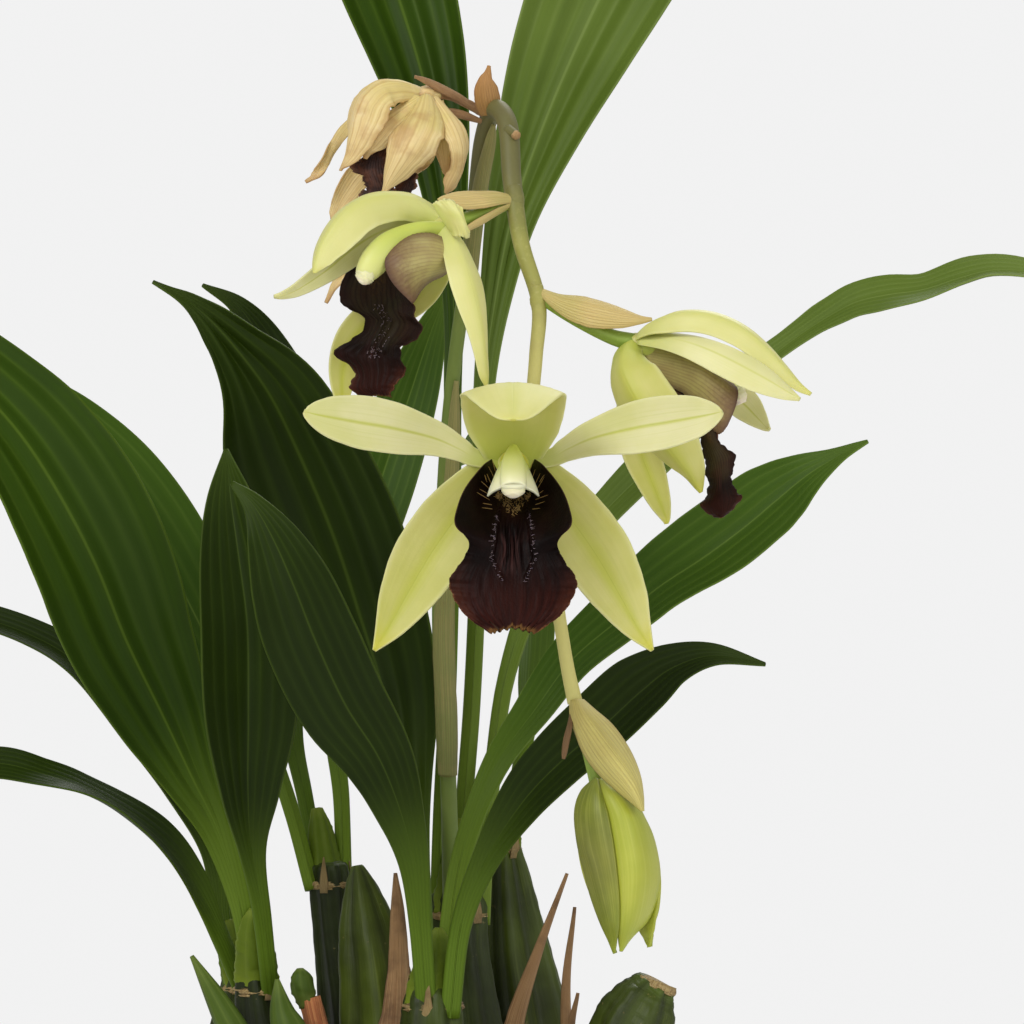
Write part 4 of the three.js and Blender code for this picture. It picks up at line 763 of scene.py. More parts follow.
def addFootGrowth():
    dry = dryPaint("dry_sheath", (198, 160, 112), (152, 112, 70), (88, 58, 36))
    for k, (name, spec) in enumerate(drySheaths.items()):
        sheath = blade(**{**spec, **drySheathLook, "seed": 300 + k})
        addPiece(name + "_papery", [sheath], dry, [name])
    green = leafPaint("young_leaf", (58, 76, 22), (82, 102, 36), (128, 142, 68), (92, 104, 44))
    parts = [stem(spikeKnob, sides=24, long=16, lumps=0.06)]
    for k, path in enumerate(shoots):
        wrapped = [[x, y, z, r * 1.02] for x, y, z, r in path]
        parts.append(stem(wrapped, sides=40, long=60, flat=0.8, ridges=0.07, ridgeCount=7, seed=60 + k))
    addPiece("young_shoots_green", parts, green, ["young_shoots"])
    cutPaint = dryPaint("old_spike", (196, 132, 80), (156, 88, 46), (86, 46, 26))
    stub = stem(oldSpike, sides=28, long=40, ridges=0.1, ridgeCount=8, lumps=0.04, rings=0.03, ringCount=5)
    addPiece("old_spike_stub_dry", [stub], cutPaint, ["old_spike_stub"])


# Leaves

leaves = {
  "leaf_left_broad": {"color": "leaf", "fold": 12, "cup": 0.3, "pleat": 0.5, "stalk": 0.22, "wave": [1.2, 2],
    "faces": [[-0.3, -0.95, 0.1], [0.1, -0.95, 0.25], [0.35, -0.85, 0.4], [0.4, -0.8, 0.5]],
    "spine": [[-32, -12, 139, 2.4], [-33, -14, 153, 2.6], [-37, -18, 168, 4], [-42, -21, 179, 6.2],
    [-47, -24, 190, 9.2], [-53, -28, 203, 12], [-58, -31, 216, 13.4], [-64, -33, 228, 13.8],
    [-71, -34, 239, 13], [-80, -34, 249, 10.8], [-90, -32, 258.5, 7], [-102, -28, 267, 0.4]]},
  "leaf_left_back": {"color": "freshLeaf", "fold": 10, "cup": 0.3, "pleat": 0, "stalk": 0.26,
    "faces": [[0.3, -0.9, 0.3], [0.5, -0.7, 0.5]], "spine": [[-22, 11.5, 156, 2], [-26, 15, 170, 2],
    [-30, 20, 180, 2.4], [-36, 25, 190, 4.8], [-43, 29, 202, 8], [-51, 31, 217, 10.2], [-60, 31, 231, 9.8],
    [-69, 30, 242, 7.2], [-78, 28, 250, 3.8], [-87, 25, 256, 0.4]]},
  "leaf_left_low": {"color": "darkLeaf", "fold": 16, "cup": 0.2, "stalk": 0.2, "faces": [[0.3, -0.9, 0.3],
    [0.5, -0.65, 0.6]], "spine": [[-36, 1, 138, 2.2], [-38.5, 2, 152, 2.4], [-40, 4, 164, 3.4],
    [-46, 7, 175, 4.6], [-55, 10, 186, 4.6], [-65, 13, 197, 4], [-75, 15, 203, 3.6], [-88, 16, 207, 3],
    [-100, 14, 208, 0.4]]},
  "leaf_left_thin": {"color": "darkLeaf", "fold": 12, "cup": 0.2, "stalk": 0.25, "faces": [[0.3, -0.9, 0.3],
    [0.5, -0.65, 0.6]], "spine": [[-33, 4, 138, 2], [-37, 9, 155, 2], [-43, 15, 171, 2.6], [-52, 21, 186, 3.6],
    [-62, 25, 196.5, 3.6], [-72, 27, 202, 2.6], [-82, 28, 206, 0.4]]},
  "leaf_left_lowest": {"color": "darkLeaf", "fold": 10, "cup": 0.2, "stalk": 0.18, "faces": [[0.4, -0.85, 0.3],
    [0.6, -0.5, 0.6], [0.2, -0.3, 0.95], [-0.2, -0.8, 0.5], [0.1, -0.9, -0.3]],
    "spine": [[-33.5, -1.6, 137, 2.2], [-38, -7, 149, 2.8], [-42.5, -11, 159, 4.6], [-48, -16, 167, 5.8],
    [-55, -20, 173, 5.6], [-61.5, -23, 177, 4.4], [-68, -25, 179.5, 3.4], [-75, -27, 181.5, 3.2],
    [-83, -29, 181.5, 2.6], [-92, -30, 178, 0.4]]},
  "leaf_folded": {"color": "darkLeaf", "fold": 26, "cup": 0.25, "stalk": 0.22, "faces": [[0.35, -0.9, 0.1],
    [0.15, -0.98, 0.1], [-0.1, -1, 0]], "spine": [[-28.5, -13, 139, 2.2], [-29.5, -22, 154, 2.4],
    [-31, -29, 167, 3.4], [-31.2, -34, 178, 6.2], [-30.9, -37, 191, 9.5], [-31, -38, 206, 9.8],
    [-32.5, -37, 218, 7.9], [-34, -35, 228, 4.8], [-35, -33, 237, 0.4]]},
  "leaf_tall": {"color": "darkLeaf", "fold": 12, "cup": 0.3, "pleat": 0.55, "stalk": 0.2, "wave": [1.5, 2.2],
    "faces": [[0.1, -1, 0.1], [-0.1, -0.97, 0.2], [-0.3, -0.9, 0.25], [-0.2, -0.6, 0.7]],
    "spine": [[-0.5, -21, 137, 2.4], [-1, -15, 151, 2.5], [-2.5, -7, 163, 3.6], [-5.2, 0, 177, 6.8],
    [-8.3, 5, 192, 11.2], [-12.6, 7, 206, 14.1], [-17.4, 5, 221, 15.1], [-23.2, 1, 235.5, 14.2],
    [-28.6, -5, 247, 10.8], [-35, -11, 255.6, 5.6], [-41.6, -16, 262.4, 2], [-49, -19, 267, 0.4]]},
  "leaf_front": {"color": "darkLeaf", "fold": 9, "cup": 0.35, "stalk": 0.24, "wave": [0.8, 2],
    "faces": [[0, -1, 0.15], [-0.2, -0.95, 0.1], [-0.2, -0.95, 0.25]], "spine": [[0, -25.5, 137, 2.4],
    [-1, -31, 153, 2.6], [-2, -36.5, 165, 3.6], [-4.5, -41, 175, 5], [-8, -45, 184, 6.6],
    [-13.5, -48, 193, 8.4], [-18.5, -50, 204, 8.8], [-22, -51, 213, 7.6], [-25.5, -51, 221, 5],
    [-29, -50, 227, 2.2], [-33, -48, 231, 0.4]]},
  "leaf_right_broad": {"color": "freshLeaf", "fold": 14, "cup": 0.25, "stalk": 0.24, "wave": [0.8, 2],
    "faces": [[0.1, -1, 0.1], [-0.3, -0.85, 0.3], [-0.3, -0.85, 0.45], [-0.3, -0.8, 0.5]],
    "spine": [[3.5, -22, 137, 2.4], [4, -20, 152, 2.5], [6.5, -17, 166, 2.6], [12, -13, 180, 3.2],
    [19.5, -8, 190.5, 4.2], [26, -4, 199, 5.2], [34.5, 1, 206, 6.8], [42, 4, 212, 7.8], [50.5, 7, 217.5, 8.8],
    [58, 8, 223, 8.4], [64, 9, 228, 7.6], [69.5, 9, 232.5, 5], [75, 8, 236, 2.2], [80.5, 6, 239, 0.4]]},
  "leaf_right_low": {"color": "darkLeaf", "fold": 16, "cup": 0.25, "stalk": 0.24, "faces": [[0.1, -1, 0.1],
    [-0.3, -0.85, 0.4], [-0.2, -0.85, 0.5]], "spine": [[4, -26.5, 137, 2.4], [6, -29, 153, 2.5],
    [10.5, -32.5, 165, 3.4], [17, -37, 175.5, 5], [24, -40, 183, 6.2], [31, -42, 189, 7], [37.5, -43, 195, 6.8],
    [43, -42, 199, 4.6], [50, -41, 201, 2.4], [59, -37, 199.5, 0.4]]},
  # this leaf takes the lighter copy of the leaf colours, painted light
  "leaf_right_far": {"color": "paleLeaf", "fold": 12, "cup": 0.25, "stalk": 0.28, "wave": [0.9, 2.5],
    "faces": [[0, -1, 0.1], [-0.3, -0.8, 0.5], [-0.4, -0.7, 0.6], [0, -0.6, 0.9]],
    "spine": [[9.3, 6.5, 150, 2.2], [10, 8, 163, 2.1], [11.5, 12, 178, 2.1], [14, 18.5, 195, 2.2],
    [20, 25, 211, 3.2], [31, 30, 224, 4.4], [42, 33, 235, 5.4], [53, 36, 245.4, 4.9], [62, 38, 253.4, 3.5],
    [69, 39, 258.8, 2.7], [75, 39.5, 262.8, 3.1], [81, 39.5, 266, 4.3], [87, 39, 267.4, 5.1],
    [94, 38.5, 268.4, 4.7], [101, 37.6, 270.6, 4.9], [107.5, 36, 272, 3.9], [116, 33, 271, 2.5],
    [125, 29, 267, 0.4]]},
  "leaf_top_left": {"color": "leaf", "fold": 14, "cup": 0.3, "pleat": 0.55, "stalk": 0.42, "wave": [1, 2],
    "faces": [[0, -1, 0.05], [0, -1, 0.05], [0.1, -1, 0], [0.25, -0.95, -0.1]], "spine": [[1.4, 8, 150, 2.2],
    [2, 8.5, 170, 2.1], [3, 9, 190, 2.1], [3.6, 9.5, 210, 2.1], [4, 11, 230, 2.1], [4, 14, 249, 2.2],
    [4, 19, 267, 2.8], [2.5, 23, 284, 5], [0.5, 27, 298, 7.4], [-3, 31, 312, 10], [-8, 35, 328, 12.2],
    [-14, 38, 347, 13], [-21, 40, 366, 10.8], [-28, 40, 384, 6.4], [-34, 38, 399, 0.4]]},
  # this leaf takes the lighter copy of the leaf colours, painted light
  "leaf_top_right": {"color": "paleLeaf", "fold": 12, "cup": 0.3, "pleat": 0.6, "stalk": 0.4, "wave": [1.2, 2],
    "faces": [[0, -1, 0.05], [0, -1, 0.05], [-0.15, -1, 0.1], [-0.3, -0.9, 0.1]], "spine": [[5, 12.2, 150, 2.2],
    [6, 14.5, 170, 2.1], [7.5, 16.5, 190, 2.1], [8.5, 18, 212, 2.1], [9, 21, 234, 2.2], [10, 25, 252, 2.8],
    [12, 29, 267, 4], [15, 33, 282, 6], [20, 37, 297, 9], [26.5, 41, 313, 12.2], [35, 45, 331, 15],
    [45, 48, 349, 15.4], [56, 50, 367, 12.6], [66, 50, 384, 7.4], [75, 48, 399, 0.4]]},
  "leaf_far_left": {"color": "darkLeaf", "fold": 12, "cup": 0.25, "stalk": 0.24, "faces": [[0, -1, 0.2],
    [0.2, -0.9, 0.3]], "spine": [[-20.5, 17, 156, 2], [-24, 25, 172, 2], [-27, 34, 184, 2.8],
    [-29, 41, 200, 5.4], [-30, 47, 217, 8.4], [-30, 51, 234, 9.6], [-31, 53, 248, 7.8], [-34, 54, 259, 4.6],
    [-38.5, 52, 266, 2.2], [-45, 48, 270, 0.4]]},
  "leaf_far_middle": {"color": "freshLeaf", "fold": 12, "cup": 0.25, "stalk": 0.24, "faces": [[0, -1, 0.2],
    [0, -1, 0.1]], "spine": [[-16.2, 13.5, 156, 2], [-17, 21, 172, 2], [-18.5, 29, 184, 2.6],
    [-18, 36, 200, 4.8], [-15, 42, 217, 6.8], [-10, 45, 233, 7.2], [-5, 47, 248, 6], [-1, 47, 260, 3.6],
    [3, 45, 270, 0.4]]},
  "leaf_rear": {"color": "freshLeaf", "fold": 12, "cup": 0.3, "stalk": 0.22, "wave": [1, 2],
    "faces": [[0.4, 0.8, 0.3], [0.3, 0.6, 0.6], [0.2, 0.2, 1]], "spine": [[13.5, 23, 163, 2.3],
    [16, 30, 175, 2.3], [18, 40, 190, 3.4], [19, 52, 205, 6.4], [19, 65, 219, 9], [18, 79, 230, 9.8],
    [15, 93, 237, 8.6], [10, 107, 239, 5.6], [4, 120, 236, 0.4]]},
}


def leafPaint(name, deep, mid, light, foot):
    paint = Paint(name)
    length, side = paint.length, paint.across.size()
    patches, clouds = paint.bodyNoise(24, 3), paint.bodyNoise(9, 2)
    streaks, grain = paint.noise((20, 0.9, 1), 1.0, 3), paint.bodyNoise(1400, 2)
    softly = side + (paint.noise((3, 1.5, 1), 1.0, 2) - 0.5) * 0.05
    ribs, folds = softly.wave(4) ** 14, softly.wave(4) ** 2
    midrib = 1 - side.between(0.006, 0.03)
    shade = patches.between(0.35, 0.68) * 0.4 + streaks.between(0.35, 0.8) * 0.3
    shade = shade + clouds.between(0.35, 0.65) * 0.3
    color = paint.coats(
        deep, (mid, shade),
        (light, ribs * patches.between(0.4, 0.65) * 0.12 + folds * 0.07),
        (light, midrib * 0.3 + side.between(0.965, 1.0) * 0.35),
        (light, length.between(0.8, 1.0) * 0.3 + paint.back * 0.22),
        (foot, length.fading(0.04, 0.38) * (0.9 - 0.15 * folds)))
    height = folds * -0.5 + ribs * -0.15 + streaks * 0.4 + grain * 0.1
    return paint.finish(color, 0.42 + 0.12 * streaks + 0.1 * paint.back, height, (0.18, 0.0003),
                        Specular_IOR_Level=0.12, **softLight(0.0008, 0.03))


# The last set is a lighter copy of the leaf colours: painted light, for leaves that look bright with light
# behind them.
leafColors = {"leaf": ((29, 47, 0), (50, 75, 2), (98, 122, 36), (104, 128, 36)), "darkLeaf": ((22, 34, 0),
  (37, 54, 2), (78, 98, 30), (94, 120, 32)), "freshLeaf": ((44, 68, 8), (66, 94, 18), (112, 136, 54),
  (108, 132, 38)), "paleLeaf": ((76, 96, 28), (100, 120, 46), (136, 154, 84), (110, 132, 44))}


leafLook = {"long": 84, "wide": 40, "thick": 0.7, "rim": 0.3, "fine": 0.03, "fineCount": 3}


def addLeaves():
    paints = {name: leafPaint(name, *colors) for name, colors in leafColors.items()}
    for k, (name, spec) in enumerate(leaves.items()):
        shape = {key: value for key, value in spec.items() if key != "color"}
        leaf = blade(**{**leafLook, **shape, "seed": 7 * k})
        addPiece(name + "_plicate", [leaf], paints[spec["color"]], [name])


addRhizome()
addBulbs()
addFootGrowth()
addLeaves()
print("bulbs and leaves done")


# Flower stem and its scales

stemPath = [[4, 3.6, 150, 1.6], [3.6, -1.5, 170, 1.5], [3, -7.5, 188, 1.45], [2, -12, 205, 1.4],
  [2.5, -18, 222, 1.3], [3.5, -24, 238, 1.3], [5, -29, 253, 1.25], [7, -34, 267, 1.25], [8.5, -39, 280, 1.3],
  [10, -46, 290, 1.5], [12, -53, 294.5, 1.65], [14.3, -60, 291, 1.7], [15, -65, 281.5, 1.6],
  [16.5, -68, 271, 1.4], [19.4, -70, 261, 1.25], [19, -70, 252, 1.15], [18.4, -69, 243, 1.1],
  [19.5, -66, 232, 1.05], [21.4, -64, 220, 1.05], [23, -63, 208, 1.1], [24.3, -63.5, 200, 1.15],
  [25.6, -64, 194, 1.3]]

stubPath = [[14.4, -62, 290.2, 0.95], [15.2, -63.2, 289.6, 0.8], [15.7, -64, 289.2, 0.72]]

stemSheaths = {
  "stem_sheath_upper": {"faces": [[0.1, 0.9, -0.3]], "cup": 1.4, "spine": [[7, -34.6, 262, 1.8],
    [8, -39, 272.5, 1.9], [9.4, -44.4, 282.5, 1.8], [11, -49, 289, 1.3], [11.8, -51.6, 292, 0.4]]},
  "stem_sheath_lower": {"faces": [[0.1, 0.95, -0.3]], "cup": 1.2, "spine": [[3.2, -6.4, 178, 2.2],
    [3, -10, 189, 2.5], [2.6, -14.2, 205, 2.4], [3.4, -20, 222, 2], [4.4, -26, 239, 1.6],
    [5.2, -29.6, 249, 0.4]]},
}

tipBract = {"faces": [[0, 1, 0.1]], "cup": 1.0, "spine": [[11.4, -53.4, 293.6, 2.2], [10.9, -54.6, 295.6, 2.5],
  [10.6, -55, 297.8, 2.3], [10.6, -55, 299.4, 1.5], [10.9, -54.6, 300.6, 0.7], [11.1, -54.2, 301.8, 0.2]]}


def stalkPaint():
    paint = Paint("flower_stem")
    fleck, patches = paint.bodyNoise(1300, 2), paint.bodyNoise(60, 3)
    clouds = paint.bodyNoise(210, 3)
    depth, high = paint.place("Y"), paint.place("Z")
    hanging = high.fading(0.248, 0.264) * depth.fading(-0.06, -0.05)
    color = paint.coats(
        (164, 160, 80), ((136, 138, 62), patches.between(0.3, 0.7)),
        ((194, 186, 116), fleck.between(0.5, 0.8) * 0.35),
        ((134, 108, 72), clouds.between(0.48, 0.75) * 0.4),
        ((96, 92, 52), high.between(0.27, 0.284) * 0.85),
        ((92, 116, 38), depth.between(-0.046, -0.03) * 0.85),
        ((218, 208, 128), hanging * 0.75))
    return paint.finish(color, 0.5 + 0.15 * fleck, fleck * 0.4 + clouds, (0.15, 0.0002),
                        **softLight(0.0008, 0.08))


def bractPaint(name, pale, tan, edge, green):
    paint = Paint(name)
    side, length = paint.across.size(), paint.length
    veins = side.wave(6) ** 6
    fibres, patches = paint.noise((22, 1.2, 1), 1.4, 4), paint.bodyNoise(170, 4)
    color = paint.coats(
        tan, (pale, fibres.between(0.3, 0.7)),
        (green, length.fading(0.1, 0.75) * 0.45 * patches.between(0.3, 0.6)),
        (edge, veins * 0.28 + side.between(0.85, 1.0) * 0.4),
        (edge, patches.between(0.6, 0.85) * 0.35))
    return paint.finish(color, 0.52 + 0.2 * fibres, veins + fibres, (0.4, 0.0002), **softLight(0.001, 0.12))


bractLook = {"long": 44, "wide": 24, "thick": 0.4, "rim": 0.22, "fine": 0.06, "fineCount": 5, "ragged": 0.05}


# Where two flower stalks leave the stem, [x, y, z, radius], and the shape of the joint there.
stemJoints = [[15.5, -66.3, 278.2, 1.5], [19.3, -70, 261.3, 1.36]]
jointRows = [(-0.3, 2.4, 0.8), (0, 0.6, 1), (0.1, -0.6, 1), (0.2, -2.4, 0.75)]
stemScar = [[15.55, -63.8, 289.3, 0.76], [15.85, -64.2, 289, 0.74]]


def addFlowerStem():
    parts = [stem(stemPath, sides=26, long=300, lumps=0.012, seed=12)]
    for x, y, z, radius in stemJoints:
        path = [[x + shift, y, z + up, radius * share] for shift, up, share in jointRows]
        parts.append(stem(path, sides=20, long=14, lumps=0.03, seed=int(z)))
    parts.append(stem(stubPath, sides=18, long=12, lumps=0.04))
    addPiece("flower_stem_fine", parts, stalkPaint(), ["flower_stem"])
    scar = dryPaint("stem_scar", (222, 186, 134), (196, 150, 96), (140, 92, 54))
    addPiece("flower_stem_scar", [stem(stemScar, sides=18, long=4, lumps=0.06)], scar)
    tan = bractPaint("dry_bract", (222, 200, 134), (200, 172, 106), (158, 122, 72), (170, 170, 84))
    tip = bractPaint("tip_bract", (190, 142, 80), (164, 116, 62), (124, 80, 44), (140, 112, 58))
    addPiece("stem_tip_bract_dry", [blade(**{**bractLook, **tipBract})], tip, ["stem_tip_bract"])
    brown = bractPaint("stem_sheath", (152, 144, 84), (120, 122, 62), (108, 62, 40), (98, 118, 48))
    for k, (name, spec) in enumerate(stemSheaths.items()):
        sheath = blade(**{**bractLook, **spec, "long": 90, "ragged": 0.08, "seed": 400 + k})
        addPiece(name + "_dry", [sheath], brown, [name])
    return tan


# Open flowers. The front one is made facing -Y with its middle at the origin, then placed.
# The two side ones are drawn where they hang, and "petals" says which of their tepals are petals.

dorsal = {"faces": [[0, -1, 0], [0, -0.8, -0.6], [0, 0, -1], [0, 0.2, -1]], "cup": 0.38,
  "spine": [[0, 1.5, -1.5, 3.2], [0, -0.5, 2.2, 5.4], [0, -2.4, 6, 7.6], [0, -5.5, 9.8, 8.5],
  [0, -10, 12.1, 8.7], [0, -14.6, 12.6, 8.6], [0, -17, 12.5, 8.1], [0, -20, 11.5, 7.1], [0, -23.4, 9.7, 5.4],
  [0, -25.8, 8.1, 3.7], [0, -27.2, 7.1, 2.1], [0, -27.8, 6.7, 0.5]]}
petal = {"faces": [[-0.1, -1, 0.2], [0.3, -0.9, 0.2], [0.35, -0.9, 0.3]], "cup": 0.3, "fold": 3,
  "spine": [[-1, 1, 0, 1.4], [6, -1, 1, 1.5], [8.8, -1.8, 2.4, 2], [13, -3.2, 4.2, 3], [19.4, -6, 5.7, 4.3],
  [24.8, -8, 6.6, 4.5], [29.4, -9.8, 7.4, 3.6], [32, -10.6, 7.9, 2.3], [33.2, -11.1, 8.2, 1.2],
  [33.7, -11.3, 8.4, 0.3]]}
frontSepal = {"cup": 0.3, "fold": 7, "faces": [[-0.1, -1, 0.1], [0.2, -1, 0], [0.2, -0.95, -0.2]],
  "spine": [[0, 1.2, 1, 2.4], [5, -0.5, -3.5, 4.4], [9.7, -1.4, -9.5, 5.9], [13.7, -2, -15.3, 6],
  [17.2, -2.6, -21.3, 4.8], [20, -3.6, -26.3, 2.7], [22.6, -5, -30.3, 0.3]]}

